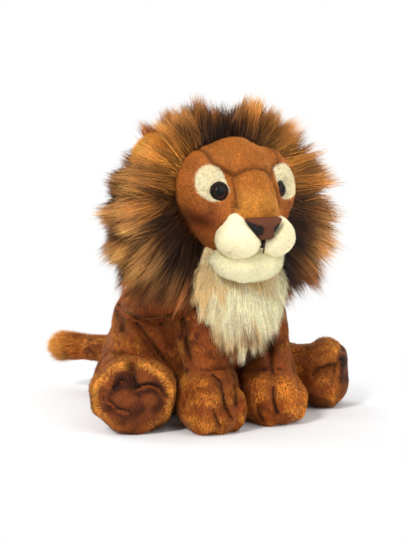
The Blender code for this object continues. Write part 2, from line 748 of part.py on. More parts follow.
# Golden panel over the bridge of the nose and the forehead
bridge_bottom = head_height - BRIDGE_BOTTOM_DROP
brow_height = head_height + FOREHEAD_BROW_RISE
forehead_height = FOREHEAD_TOP_RISE - FOREHEAD_BROW_RISE
panel_outline = []
for mirror in (1, -1):
    half = [(width * BRIDGE_HALF_WIDTH, bridge_bottom + rise * (brow_height - bridge_bottom))
            for width, rise in BRIDGE_SHARES]
    half += [(width * FOREHEAD_HALF_WIDTH, brow_height + rise * forehead_height)
             for width, rise in FOREHEAD_SHARES]
    if mirror < 0:
        half.reverse()
    panel_outline += [(mirror * x, z) for x, z in half]
panel_edge = -(mane_forward + MANE_HALF_DEPTH) * PANEL_EDGE_SHARE
forehead_panel = head_form("forehead_panel", SEAM_GAP + PANEL_THICKNESS, golden_plush)
keep(forehead_panel, plate("forehead_outline_guide", panel_outline,
                           -(head_forward + 2 * HEAD_FACE_REACH), panel_edge))
cut(forehead_panel, panel_bed, nose_room, *patch_guides)
attach(forehead_panel, head_pivot)

# Muzzle pads either side of the nose seam, and the chin under them
bridge_room = plate("bridge_room_guide",
                    [(x + math.copysign(SEAM_GAP, x), z) for x, z in panel_outline],
                    -(head_forward + 2 * HEAD_FACE_REACH), -head_forward)
muzzle_rooms = []
for side in (1, -1):
    label = side_name(side)
    centre = Vector((side * MUZZLE_HALF_SPACING, -(head_forward + MUZZLE_REACH),
                     head_height - MUZZLE_DROP))
    sizes = (MUZZLE_HALF_WIDTH, MUZZLE_HALF_DEPTH, MUZZLE_HALF_HEIGHT)
    pad = ellipsoid(label + "_muzzle_pad", centre, sizes, surface=cream_plush)
    other_half = block(label + "_nose_seam_guide",
                       Vector((-toy_reach if side > 0 else -SEAM_GAP / 2, -toy_reach, 0)),
                       Vector((SEAM_GAP / 2 if side > 0 else toy_reach, 0, TORSO_HEIGHT * 2)))
    cut(pad, panel_bed, nose_room, other_half, bridge_room)
    attach(pad, head_pivot)
    room = [size + SEAM_GAP * 2 for size in sizes]
    muzzle_rooms.append(ellipsoid(label + "_muzzle_room_guide", centre, room))

chin_centre = Vector((0, -(head_forward + CHIN_REACH), head_height - CHIN_DROP))
chin_sizes = (CHIN_HALF_WIDTH, CHIN_HALF_DEPTH, CHIN_HALF_HEIGHT)
chin_pad = ellipsoid("chin_pad", chin_centre, chin_sizes, surface=cream_plush)
cut(chin_pad, panel_bed, *muzzle_rooms)
attach(chin_pad, head_pivot)
chin_room = ellipsoid("chin_room_guide", chin_centre, [s + SEAM_GAP * 2 for s in chin_sizes])

# Cupped ears, sewn to the head and set in the mane
ear_rooms = []
for side in (1, -1):
    label = side_name(side)
    centre = Vector((side * EAR_HALF_SPACING, -head_forward, head_height + EAR_RISE))
    outward = Matrix.Rotation(side * math.radians(EAR_SPLAY_DEG), 3, "Z")
    sizes = (EAR_HALF_WIDTH, EAR_HALF_THICKNESS, EAR_HALF_HEIGHT)
    ear = ellipsoid(label + "_ear", centre, sizes, outward, surface=golden_plush)
    front = outward @ -Y_AXIS
    cup_centre = centre + front * EAR_CUP_RADIUS
    cut(ear, panel_bed, ball(label + "_ear_cup_guide", cup_centre, EAR_CUP_RADIUS))
    attach(ear, head_pivot)
    room = [size + SEAM_GAP * 2 for size in sizes]
    ear_rooms.append(ellipsoid(label + "_ear_room_guide", centre, room, outward))

# Mane round the head, free of the shoulders when the head turns and nods
mane_rows = [(-reach * MANE_HALF_DEPTH, 0, 0, size * MANE_HALF_WIDTH, size * MANE_HALF_HEIGHT)
             for reach, size in reversed(MANE_DEPTH_SHARES)]
mane_frame = (Vector((0, -mane_forward, head_height - MANE_DROP)), X_AXIS, Z_AXIS, -Y_AXIS)
mane = loft("mane_ruff", mane_frame, mane_rows, MANE_SQUARENESS_SHARE, RING_POINTS, LIMB_STEPS,
            surface=mane_pile)
hollow_profile = [(0, -CUT_OVERRUN), (MANE_HOLLOW_RADIUS, -CUT_OVERRUN)]
for step in range(6):
    angle = math.pi / 2 * step / 6
    hollow_profile.append((MANE_HOLLOW_RADIUS * math.cos(angle),
                           TORSO_HEIGHT - MANE_HOLLOW_DROP
                           + (MANE_HOLLOW_RISE + MANE_HOLLOW_DROP) * math.sin(angle)))
hollow_profile.append((0, TORSO_HEIGHT + MANE_HOLLOW_RISE))
mane_hollow = turned("mane_hollow_guide", neck_point, hollow_profile, BALL_POINTS)
cut(mane, panel_bed, neck_cup, mane_hollow, chin_room, *muzzle_rooms, *ear_rooms)
attach(mane, head_pivot)


# Limbs: each a cover round its stuffing, cut back where it meets the torso
def limb_body(name, form, centre, radius, shrink, surface=None, swing_deg=0.0):
    """Limb form cut back from the torso and joined to its round root, all shrunk alike.

    A limb that swings towards the torso about the vertical is cut back there as well.
    """
    made = form(name, -shrink, surface)
    cut(made, torso_form(name + "_torso_guide", SEAM_GAP + shrink))
    if swing_deg:
        swung = torso_form(name + "_swung_torso_guide", SEAM_GAP + shrink)
        turn = Matrix.Rotation(-math.radians(swing_deg), 4, "Z")
        swung.matrix_world = Matrix.Translation(centre) @ turn @ Matrix.Translation(-centre)
        cut(made, swung)
    root_radius = radius - shrink
    root = ellipsoid(name + "_root_guide", centre, (root_radius, root_radius, root_radius),
                     facet_turn, INNER_POINTS if shrink > 0 else SEAT_POINTS)
    combine(made, root, "UNION")
    return made


def stuffed_limb(label, form, centre, radius, toward, carrier, swing_deg=0.0):
    cover = limb_body(label + "_cover", form, centre, radius, 0, rust_plush, swing_deg)
    lining = limb_body(label + "_lining_guide", form, centre, radius, PLUSH_WALL, None, swing_deg)
    mouth = rod(label + "_mouth_guide", centre, centre - toward * (radius + CUT_OVERRUN),
                radius * MOUTH_SHARE, SMALL_POINTS)
    cut(cover, lining, mouth, floor_guide)
    filling = limb_body(label + "_stuffing", form, centre, radius, PLUSH_WALL + SEAM_GAP, wadding,
                        swing_deg)
    attach(cover, carrier)
    attach(filling, carrier)


front_rooms = []
for side in (1, -1):
    label = side_name(side)
    carrier = pivot(label + "_shoulder_pivot", shoulder_point(side))
    inward = (Y_AXIS - X_AXIS * side).normalized()
    form = partial(front_leg_form, side)
    stuffed_limb(label + "_front_leg", form, shoulder_point(side), SHOULDER_RADIUS, -inward,
                 carrier)
    front_rooms.append(limb_body(label + "_front_leg_room_guide", form, shoulder_point(side),
                                 SHOULDER_RADIUS, -SEAM_GAP))

for side in (1, -1):
    label = side_name(side)
    carrier = pivot(label + "_hip_pivot", hip_point(side))
    stuffed_limb(label + "_hind_leg", partial(hind_leg_form, side), hip_point(side),
                 HIP_RADIUS, hind_direction(side), carrier, -aside_deg(side))
    sole_centre = hip_point(side) + hind_direction(side) * HIND_LEG_LENGTH
    across = hind_direction(side).cross(Z_AXIS)
    turn = Matrix((across, Z_AXIS, across.cross(Z_AXIS))).transposed()
    pad = hind_leg_form(side, label + "_sole_pad", SEAM_GAP + PANEL_THICKNESS, sole_plush)
    keep(pad, ellipsoid(label + "_sole_outline_guide", sole_centre,
                        (FOOT_HALF_WIDTH * SOLE_PAD_SHARE, FOOT_HALF_HEIGHT * SOLE_PAD_SHARE,
                         PANEL_THICKNESS * 4), turn))
    cut(pad, hind_leg_form(side, label + "_sole_bed_guide", SEAM_GAP))
    attach(pad, carrier)

# Tail with its tuft
tail_carrier = pivot("tail_pivot", tail_point)
stuffed_limb("tail", tail_form, tail_point, TAIL_RADIUS, tail_direction(), tail_carrier,
             TAIL_SWING_DEG)
tuft_rows = []
for reach, size in TUFT_SHARES:
    tuft_rows.append((TAIL_LENGTH - TUFT_LAP + reach * TUFT_LENGTH, 0, 0,
                      size * TUFT_RADIUS, size * TUFT_RADIUS))
tuft_frame = (tail_point, tail_direction().cross(Z_AXIS), Z_AXIS, tail_direction())
tail_tuft = loft("tail_tuft", tuft_frame, tuft_rows, SQUARE_ROUND_SHARE, SMALL_POINTS,
                 INNER_STEPS, surface=golden_plush)
cut(tail_tuft, tail_form("tail_end_guide", SEAM_GAP))
attach(tail_tuft, tail_carrier)

# Beard that hangs from the chin over the chest and the tops of the front legs
beard_rows = [(drop * BEARD_LENGTH, 0, 0, width * BEARD_HALF_WIDTH,
               thickness * BEARD_HALF_THICKNESS) for drop, width, thickness in BEARD_SHARES]
beard_top = Vector((0, -(head_forward + BEARD_REACH), head_height - BEARD_TOP_DROP))
beard_frame = (beard_top, X_AXIS, Y_AXIS, -Z_AXIS)
beard = loft("beard_bib", beard_frame, beard_rows, SQUARE_ROUND_SHARE, LIMB_POINTS,
             INNER_STEPS, surface=beard_pile)
cut(beard, panel_bed, chin_room, mane, torso_form("torso_room_guide", SEAM_GAP), *front_rooms)
attach(beard, head_pivot)
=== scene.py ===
"""Looks of the seated plush lion: skins, pile, mane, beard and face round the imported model.

Shapes are worked out in millimetres in the model's frame and made in metres. The lion looks
towards -y; side is 1 for its left, where x is positive, and -1 for its right.
"""

import math

import bpy
import numpy as np
from mathutils import Matrix, Vector


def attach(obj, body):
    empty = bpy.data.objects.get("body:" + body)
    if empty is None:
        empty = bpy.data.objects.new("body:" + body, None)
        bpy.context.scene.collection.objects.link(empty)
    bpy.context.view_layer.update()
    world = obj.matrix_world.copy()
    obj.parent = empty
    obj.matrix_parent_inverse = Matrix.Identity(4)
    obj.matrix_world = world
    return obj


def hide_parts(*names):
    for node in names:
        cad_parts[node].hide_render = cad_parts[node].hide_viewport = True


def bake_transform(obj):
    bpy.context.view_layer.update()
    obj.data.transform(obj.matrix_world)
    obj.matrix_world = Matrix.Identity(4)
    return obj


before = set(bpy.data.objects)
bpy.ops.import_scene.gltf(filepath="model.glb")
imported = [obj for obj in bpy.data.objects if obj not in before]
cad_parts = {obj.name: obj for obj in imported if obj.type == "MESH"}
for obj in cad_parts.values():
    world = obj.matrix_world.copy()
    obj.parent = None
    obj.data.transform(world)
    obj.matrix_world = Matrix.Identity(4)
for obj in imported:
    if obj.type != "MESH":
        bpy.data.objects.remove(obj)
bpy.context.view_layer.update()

MM = 0.001
SIDES = ((1, "left"), (-1, "right"))


# Small vector tools

def vec(*values):
    return np.array(values, float)


def unit(a):
    return a / np.maximum(np.linalg.norm(a, axis=-1, keepdims=True), 1e-9)


def smooth(low, high, x):
    """0 at low and 1 at high, with soft ends; low may be the greater one."""
    t = np.clip((x - low) / (high - low), 0, 1)
    return t * t * (3 - 2 * t)


def mix(a, b, share):
    """Colours or directions: a where share is 0, b where it is 1, with one share per point."""
    share = np.reshape(share, (-1, 1))
    return a * (1 - share) + b * share


def mirrored(p):
    """Points with those of the lion's right moved to its left."""
    return np.column_stack([np.abs(p[:, 0]), p[:, 1:]])


def seen_frame(way):
    """Sideways and up in the plane that faces a direction."""
    across = unit(np.cross(way, vec(0, 0, 1)))
    return across, np.cross(across, way)


def noise(p, size, seed):
    """Smooth random field from -1 to 1 over points: a sum of plane waves of about that size."""
    rng = np.random.default_rng(seed)
    total = np.zeros(len(p))
    for _ in range(14):
        way = unit(rng.normal(size=3))
        total += np.sin(p @ way * (2 * math.pi / (size * rng.uniform(0.7, 1.6))) + rng.uniform(0, 6.283))
    return np.clip(total / 4.2, -1, 1)


# Distance fields: below zero inside

def ball(p, centre, radii):
    q = (p - centre) / radii
    far = np.linalg.norm(q, axis=1)
    near = np.linalg.norm(q / radii, axis=1)
    return far * (far - 1) / np.maximum(near, 1e-6)


def limb(p, a, b, ra, rb):
    """Round limb from a to b with its radius at each."""
    a, b = np.asarray(a, float), np.asarray(b, float)
    way = b - a
    t = np.clip((p - a) @ way / (way @ way), 0, 1)
    return np.linalg.norm(p - (a + t[:, None] * way), axis=1) - (ra + (rb - ra) * t)


def join(k, *fields):
    """Forms together, rounded over about k where they meet."""
    total = fields[0]
    for other in fields[1:]:
        h = np.clip(0.5 + 0.5 * (other - total) / k, 0, 1)
        total = other * (1 - h) + total * h - k * h * (1 - h)
    return total


def common(k, *fields):
    """What all the forms share, rounded over about k."""
    return -join(k, *(-field for field in fields))


def carve(k, field, cutter):
    return common(k, field, -cutter)


def slopes(field, p, step=0.4):
    return np.stack([(field(p + move) - field(p - move)) / (2 * step) for move in np.eye(3) * step], 1)


# Skins: points and quads

def net(field, low, high, step):
    """Closed skin where the field is zero, inside the box, with one point in each cell that it crosses."""
    axes = [np.arange(a, b + step, step) for a, b in zip(low, high)]
    grid = np.stack(np.meshgrid(*axes, indexing="ij"), -1)
    value = field(grid.reshape(-1, 3)).reshape(grid.shape[:3])
    cells = [n - 1 for n in value.shape]
    weight, total = np.zeros(cells), np.zeros(cells + [3])
    for a in np.ndindex(2, 2, 2):
        for axis in range(3):
            if a[axis]:
                continue
            b = tuple(1 if n == axis else a[n] for n in range(3))
            va, vb = (value[tuple(slice(i, i + n) for i, n in zip(corner, cells))] for corner in (a, b))
            cross = (va < 0) != (vb < 0)
            t = np.where(cross, va / np.where(cross, va - vb, 1), 0)
            weight += cross
            for n in range(3):
                total[..., n] += cross * (a[n] + (t if n == axis else 0))
    active = weight > 0
    number = np.full(cells, -1)
    number[active] = np.arange(active.sum())
    place = np.stack(np.nonzero(active), 1)
    points = (place + total[active] / weight[active][:, None]) * step + np.array([a[0] for a in axes])
    quads = []
    inside = value < 0
    for axis in range(3):
        u, v = (axis + 1) % 3, (axis + 2) % 3
        first, second = [slice(1, -1)] * 3, [slice(1, -1)] * 3
        first[axis], second[axis] = slice(0, -1), slice(1, None)
        a, b = inside[tuple(first)], inside[tuple(second)]
        for leaves, order in ((a & ~b, 1), (~a & b, -1)):
            ring = []
            for du, dv in ((0, 0), (1, 0), (1, 1), (0, 1)):
                cell = np.stack(np.nonzero(leaves), 1)
                cell[:, u] += du
                cell[:, v] += dv
                ring.append(number[tuple(cell.T)])
            quads.append(np.stack(ring[::order], 1))
    quads = np.concatenate(quads)
    for _ in range(3):
        points = relax(points, quads, 0.5)
        for _ in range(2):
            g = slopes(field, points)
            points = points - g * (field(points) / np.maximum((g * g).sum(1), 0.05))[:, None]
    return points, quads


def summed(index, values, count):
    """For each point, the sum of the rows that have its index."""
    return np.stack([np.bincount(index, values[:, axis], count) for axis in range(3)], 1)


def relax(points, quads, share):
    """Points moved towards the middle of their neighbours."""
    count = len(points)
    total, weight = np.zeros((count, 3)), np.zeros(count)
    for n in range(4):
        a, b = quads[:, n], quads[:, (n + 1) % 4]
        for i, j in ((a, b), (b, a)):
            total += summed(i, points[j], count)
            weight += np.bincount(i, minlength=count)
    return points + share * (total / np.maximum(weight, 1)[:, None] - points)


def normals(points, quads):
    across = np.cross(points[quads[:, 2]] - points[quads[:, 0]], points[quads[:, 3]] - points[quads[:, 1]])
    total = np.zeros_like(points)
    for corner in range(4):
        total += summed(quads[:, corner], across, len(points))
    return unit(total)


def ring_skin(rings):
    """Skin over closed rings of points: rings is (ring, point, 3)."""
    rings = np.asarray(rings)
    number = np.arange(rings.shape[0] * rings.shape[1]).reshape(rings.shape[:2])
    a, b = number[:-1], number[1:]
    quads = np.stack([a, np.roll(a, -1, 1), np.roll(b, -1, 1), b], -1).reshape(-1, 4)
    return rings.reshape(-1, 3), quads


def turned(points, quads, way):
    """The skin with its quads turned to a direction, which may be one per point."""
    return points, quads[:, ::-1] if (normals(points, quads) * way).sum() < 0 else quads


def nearest_place(skin, x, z, limit=-70):
    """The skin's point nearest to x and z on its front."""
    points = skin[0]
    gap = np.hypot(points[:, 0] - x, points[:, 2] - z) + 1e3 * (points[:, 1] > limit)
    return points[np.argmin(gap)]


# Objects

def placed(name, data):
    made = bpy.data.objects.new(name, data)
    bpy.context.scene.collection.objects.link(made)
    return made


def mesh_object(name, points, faces, surface, colour=None, uv=None, soft_normals=None):
    """Object from points in millimetres and faces: an array, or a list of arrays with different sides."""
    groups = faces if isinstance(faces, list) else [faces]
    mesh = bpy.data.meshes.new(name)
    mesh.vertices.add(len(points))
    mesh.vertices.foreach_set("co", (points * MM).astype(np.float32).ravel())
    corners = np.concatenate([g.ravel() for g in groups])
    counts = np.concatenate([np.full(len(g), g.shape[1]) for g in groups])
    starts = np.concatenate([[0], np.cumsum(counts)[:-1]])
    mesh.loops.add(len(corners))
    mesh.loops.foreach_set("vertex_index", corners.astype(np.int32))
    mesh.polygons.add(len(counts))
    mesh.polygons.foreach_set("loop_start", starts.astype(np.int32))
    mesh.update()
    mesh.shade_smooth()
    if colour is not None:
        layer = mesh.color_attributes.new("COL", "FLOAT_COLOR", "POINT")
        full = np.ones((len(points), 4), np.float32)
        full[:, :3] = np.clip(colour, 0, 1)
        layer.data.foreach_set("color", full.ravel())
    if uv is not None:
        layer = mesh.uv_layers.new(name="OFBake")
        layer.data.foreach_set("uv", uv.astype(np.float32).ravel())
    if soft_normals is not None:
        mesh.normals_split_custom_set_from_vertices(soft_normals.astype(np.float32))
    mesh.materials.append(surface)
    return placed(name, mesh)


def carry(made, carrier, slot, *replaced):
    """Let a piece ride on a body; where carrier is (body, body, start, end) the piece stays fixed where it is."""
    if isinstance(carrier, str):
        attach(made, carrier)
    else:
        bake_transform(made)
    if replaced:
        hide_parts(*replaced)


# Materials

def srgb(r, g, b):
    c = np.array([r, g, b], float) / 255
    return np.where(c <= 0.04045, c / 12.92, ((c + 0.055) / 1.055) ** 2.4)


def feed(tree, made, inputs):
    """Give a node's inputs their values, or links from other nodes' outputs."""
    for key, value in inputs.items():
        if isinstance(value, bpy.types.NodeSocket):
            tree.links.new(value, made.inputs[key])
        else:
            made.inputs[key].default_value = value


def node(tree, kind, inputs=None, **settings):
    """Outputs of a new node."""
    made = tree.nodes.new(kind)
    for key, value in settings.items():
        setattr(made, key, value)
    feed(tree, made, inputs or {})
    return made.outputs


def new_material(name):
    made = bpy.data.materials.new(name)
    made.use_nodes = True
    return made, made.node_tree, made.node_tree.nodes["Principled BSDF"]


def own_colour(tree, factor=1.0):
    """The mesh's own colours times a factor."""
    colour = node(tree, "ShaderNodeVertexColor", layer_name="COL")["Color"]
    return node(tree, "ShaderNodeVectorMath", {0: colour, "Scale": factor}, operation="SCALE")[0]


def grain(tree, scale, detail, rough):
    spot = node(tree, "ShaderNodeNewGeometry")["Position"]
    return node(tree, "ShaderNodeTexNoise",
                {"Vector": spot, "Scale": scale, "Detail": detail, "Roughness": rough})["Fac"]


def spread_out(tree, value, margin, low, high):
    """A value from margin to 1 - margin stretched from low to high."""
    return node(tree, "ShaderNodeMapRange", {"Value": value, "From Min": margin, "From Max": 1 - margin,
                                             "To Min": low, "To Max": high})[0]


def pile_material(name, sheen, mottling, rough=0.75, grains=(0.82, 1.15), tint=(1.0, 0.8, 0.6, 1)):
    """Plush: colour from the strands, with soft darker and lighter places over it."""
    made, tree, shader = new_material(name)
    patch = spread_out(tree, grain(tree, 42.0, 3.0, 0.6), 0.3, 1 - mottling, 1 + mottling * 0.55)
    fine = spread_out(tree, grain(tree, 420.0, 2.0, 0.6), 0.25, *grains)
    both = node(tree, "ShaderNodeMath", {0: patch, 1: fine}, operation="MULTIPLY")[0]
    feed(tree, shader, {"Base Color": own_colour(tree, both), "Roughness": rough, "Specular IOR Level": 0.18,
                        "Sheen Weight": sheen, "Sheen Roughness": 0.45, "Sheen Tint": tint})
    return made


# each material slot's plush
PILES = {
    "rust_plush": pile_material("rust_plush_pile", 0.25, 0.25, grains=(0.66, 1.34), tint=(1.0, 0.55, 0.18, 1)),
    "golden_plush": pile_material("golden_plush_pile", 0.3, 0.25, tint=(1.0, 0.7, 0.35, 1)),
    "cream_plush": pile_material("cream_plush_pile", 0.3, 0.06, grains=(0.92, 1.08), tint=(1, 0.96, 0.85, 1)),
    "sole_plush": pile_material("sole_plush_pile", 0.25, 0.4),
    "mane_pile": pile_material("mane_long_pile", 0.12, 0.30, rough=0.55),
    "beard_pile": pile_material("beard_long_pile", 0.15, 0.10, tint=(1, 0.95, 0.85, 1)),
}

# colours, as they look in the photograph
RUST_DARK = srgb(92, 38, 13)
RUST = srgb(170, 82, 26)
RUST_TIP = srgb(236, 146, 52)
GOLD = srgb(236, 156, 62)
GOLD_DARK = srgb(168, 96, 34)
CREAM = srgb(255, 244, 202)
CREAM_DARK = srgb(232, 206, 154)
SOLE = srgb(92, 42, 20)
SOLE_TIP = srgb(150, 78, 34)
MANE_ROOT = srgb(48, 23, 8)
MANE_MID = srgb(136, 78, 34)
MANE_COPPER = srgb(218, 134, 54)
MANE_TIP = srgb(234, 170, 98)


# Pile

PILE_FLOOR = 0.15
PILE_SINK = 0.6
PILE_CURL = 0.2


def scatter(skin, count, rng, weight=None):
    """Random places over a skin, and its normals there; weight is a field of (place, normal)."""
    points, quads = skin
    tris = np.concatenate([quads[:, [0, 1, 2]], quads[:, [0, 2, 3]]])
    bend = normals(points, quads)
    a, b, c = (points[tris[:, n]] for n in range(3))
    area = np.linalg.norm(np.cross(b - a, c - a), axis=1) / 2
    if weight is not None:
        area = area * np.clip(weight((a + b + c) / 3, unit(bend[tris].mean(1))), 0, None)
    edge = np.cumsum(area)
    pick = np.clip(np.searchsorted(edge, rng.random(count) * edge[-1]), 0, len(tris) - 1)
    u, v = rng.random(count), rng.random(count)
    flip = u + v > 1
    u, v = np.where(flip, 1 - u, u), np.where(flip, 1 - v, v)
    shares = [share[:, None] for share in (1 - u - v, u, v)]
    where, lean = (sum(values[tris[pick, n]] * shares[n] for n in range(3)) for values in (points, bend))
    return where, unit(lean)


def ribbons(name, path, width, skin_normal, colours, rng, softness, carrier, slot):
    """Strands as thin pointed ribbons.

    path and colours are (strand, point along it, 3); width and skin_normal have one row per strand.
    """
    count, along = path.shape[:2]
    way = unit(path[:, 1] - path[:, 0])
    side = unit(np.cross(way, skin_normal) + 1e-6)
    over = np.cross(side, way)
    turn = rng.normal(0, 0.35, count)[:, None]
    side = side * np.cos(turn) + over * np.sin(turn)
    front = np.cross(way, side)
    away = (front * skin_normal).sum(1)[:, None] < 0
    soft = unit(skin_normal * softness + front * np.where(away, -1, 1) * (1 - softness))
    taper = 1 - (np.arange(along - 1) / (along - 1)) ** 1.6
    taper[0] = 0.8
    half = (width[:, None] * taper / 2)[:, :, None] * side[:, None]
    edges = np.stack([path[:, :-1] - half, path[:, :-1] + half], 2).reshape(count, -1, 3)
    points = np.concatenate([edges, path[:, -1:]], 1)
    tones = np.concatenate([np.repeat(colours[:, :-1], 2, 1), colours[:, -1:]], 1)
    per = points.shape[1]

    # quads and a pointed end whose faces look to the skin's side; each strand has a cell on the baking sheet
    rows = [(np.array([0, 1, 3, 2]) + 2 * n, vec((0, n), (1, n), (1, n + 1), (0, n + 1)))
            for n in range(along - 2)]
    rows.append((np.arange(3) + 2 * (along - 2), vec((0, along - 2), (1, along - 2), (0.5, along - 1))))
    cells = math.ceil(math.sqrt(count))
    number = np.arange(count)
    cell = np.stack([number % cells, number // cells], 1)[:, None] / cells
    faces, sheet = [], []
    for ring, uv in rows:
        uv = uv / vec(1, along - 1)
        faces.append(number[:, None] * per + np.where(away, ring, ring[::-1]))
        sheet.append((cell + 0.8 / cells * (0.1 + 0.8 * np.where(away[:, None], uv, uv[::-1]))).reshape(-1, 2))
    made = mesh_object(name, points.reshape(-1, 3), faces, PILES[slot], tones.reshape(-1, 3),
                       np.concatenate(sheet), np.repeat(soft, per, 0))
    carry(made, carrier, slot)


def along_skin(way, bend):
    return unit(way - bend * (way * bend).sum(1)[:, None])


def coat(name, skin, count, length, comb, tones, body, slot, seed, lay, width=0.48, weight=None, wander=0.35):
    """Short pile over a skin.

    length is a number or a field of (place, normal), comb a field of the way that the pile lies, lay
    how flat it lies, and tones gives the colours of root, middle and tip.
    """
    rng = np.random.default_rng(seed)
    root, bend = scatter(skin, count, rng, weight)
    drift = np.stack([noise(root, 26, seed + n) for n in (1, 2, 3)], 1)
    way = along_skin(comb(root, bend), bend) + drift * wander + rng.normal(0, 0.14, (count, 3))
    way = along_skin(way, bend)
    reach = length(root, bend) if callable(length) else length
    reach = (reach * rng.uniform(0.72, 1.2, count))[:, None]
    lays = (lay + 0.18 * drift[:, :1] + rng.normal(0, 0.10, (count, 1))).clip(0.05, 0.95)
    first = unit(bend * (1 - lays) + way * lays)
    second = unit(bend * (1 - lays - PILE_CURL).clip(0.02) + way * (lays + PILE_CURL))
    start = root - bend * PILE_SINK
    middle = start + first * reach * 0.55
    path = np.stack([start, middle, middle + second * reach * 0.5], 1)
    path[:, :, 2] = np.maximum(path[:, :, 2], PILE_FLOOR)
    colours = np.stack([np.broadcast_to(tone, (count, 3)) for tone in tones(root, bend, rng)], 1)
    ribbons(name, path, width * rng.uniform(0.8, 1.25, count), bend, colours, rng, 0.65, body, slot)


def long_pile(prefix, pieces, skin, guides, children, length, flow, tones, carrier, slot, seed, weight,
              width, clump, gravity, lift, spread, sway, tall=1.0):
    """Long hair in locks: each strand leaves the backing by itself and ends near its lock's tip."""
    rng = np.random.default_rng(seed)
    root, bend = scatter(skin, guides, rng, weight)
    way = unit(flow(root, bend) + rng.normal(0, 0.07, (guides, 3)))
    segments = 4
    reach = (length(root, bend) * rng.uniform(0.88, 1.08, guides) / segments)[:, None]
    turn = rng.normal(0, sway, (guides, 3))
    line = [root]
    for k in range(segments):
        s = (k + 0.5) / segments
        go = unit(bend * lift * (1 - s) + way * (0.6 + s) + vec(0, 0, -gravity) * s + turn * s)
        line.append(line[-1] + go * reach)
    pick = np.repeat(np.arange(guides), children)
    total = len(pick)
    across = rng.normal(0, spread / 2, (total, 3)) * vec(1, 1, tall)
    across -= bend[pick] * (across * bend[pick]).sum(1)[:, None] * 0.8
    own = rng.uniform(0.66, 1.06, total)[:, None]
    jitter = rng.normal(0, 1, (total, 3))
    steps = np.linspace(0, 1, segments + 1)
    kids = np.stack([root[pick] + (place - root)[pick] * own
                     + across * (1 - clump * s ** 1.2) + jitter * 1.6 * s for place, s in zip(line, steps)], 1)
    kids[:, 0] -= bend[pick] * 1.2
    colours = tones(root[pick], kids, steps, rng, pick)
    order = rng.permutation(total)
    for n in range(pieces):
        part = order[n::pieces]
        ribbons(f"{prefix}_{n + 1}", kids[part], width * rng.uniform(0.7, 1.25, len(part)), bend[pick][part],
                colours[part], rng, 0.6, carrier, slot)


def skin_object(name, skin, colour, carrier, slot, fill, *replaced):
    """Backing of a soft piece, in place of the model's own nodes."""
    made = mesh_object(name, *skin, PILES[slot], colour)
    carry(made, carrier, slot, *replaced)


# Camera, light and floor

AZIMUTH, PITCH, LENS, SENSOR = -35.0, 5.71, 97.2, 36.0
DISTANCE, CAMERA_SIDE, CAMERA_HEIGHT = 1.413, 0.0204, 0.278
RIGHT = vec(math.cos(math.radians(AZIMUTH)), math.sin(math.radians(AZIMUTH)), 0)
BACK = vec(math.sin(math.radians(AZIMUTH)), -math.cos(math.radians(AZIMUTH)), 0)
WHITE = (1, 1, 1, 1)
FLOOR_SIZE = 6000


def sun(name, azimuth, height, strength, angle):
    lamp = bpy.data.lights.new(name, "SUN")
    lamp.energy, lamp.angle = strength, math.radians(angle)
    b, h = math.radians(azimuth), math.radians(height)
    towards = Vector((math.sin(b) * math.cos(h), -math.cos(b) * math.cos(h), math.sin(h)))
    made = placed(name, lamp)
    made.rotation_mode = "QUATERNION"
    made.rotation_quaternion = towards.to_track_quat("Z", "Y")


def seen_rays(tree):
    """1 for what the camera sees, straight or through gloss, and 0 for what lights the lion."""
    ray = node(tree, "ShaderNodeLightPath")
    seen = node(tree, "ShaderNodeMath", {0: ray["Is Camera Ray"], 1: ray["Is Glossy Ray"]}, operation="MAXIMUM")
    return node(tree, "ShaderNodeMath", {0: seen[0], 1: ray["Is Transmission Ray"]}, operation="MAXIMUM")[0]


def blend_to(tree, output, share, first, second):
    """Feed an output with the first shader where share is 0 and the second where it is 1."""
    both = node(tree, "ShaderNodeMixShader", {0: share, 1: first, 2: second})
    feed(tree, tree.nodes[output], {"Surface": both[0]})


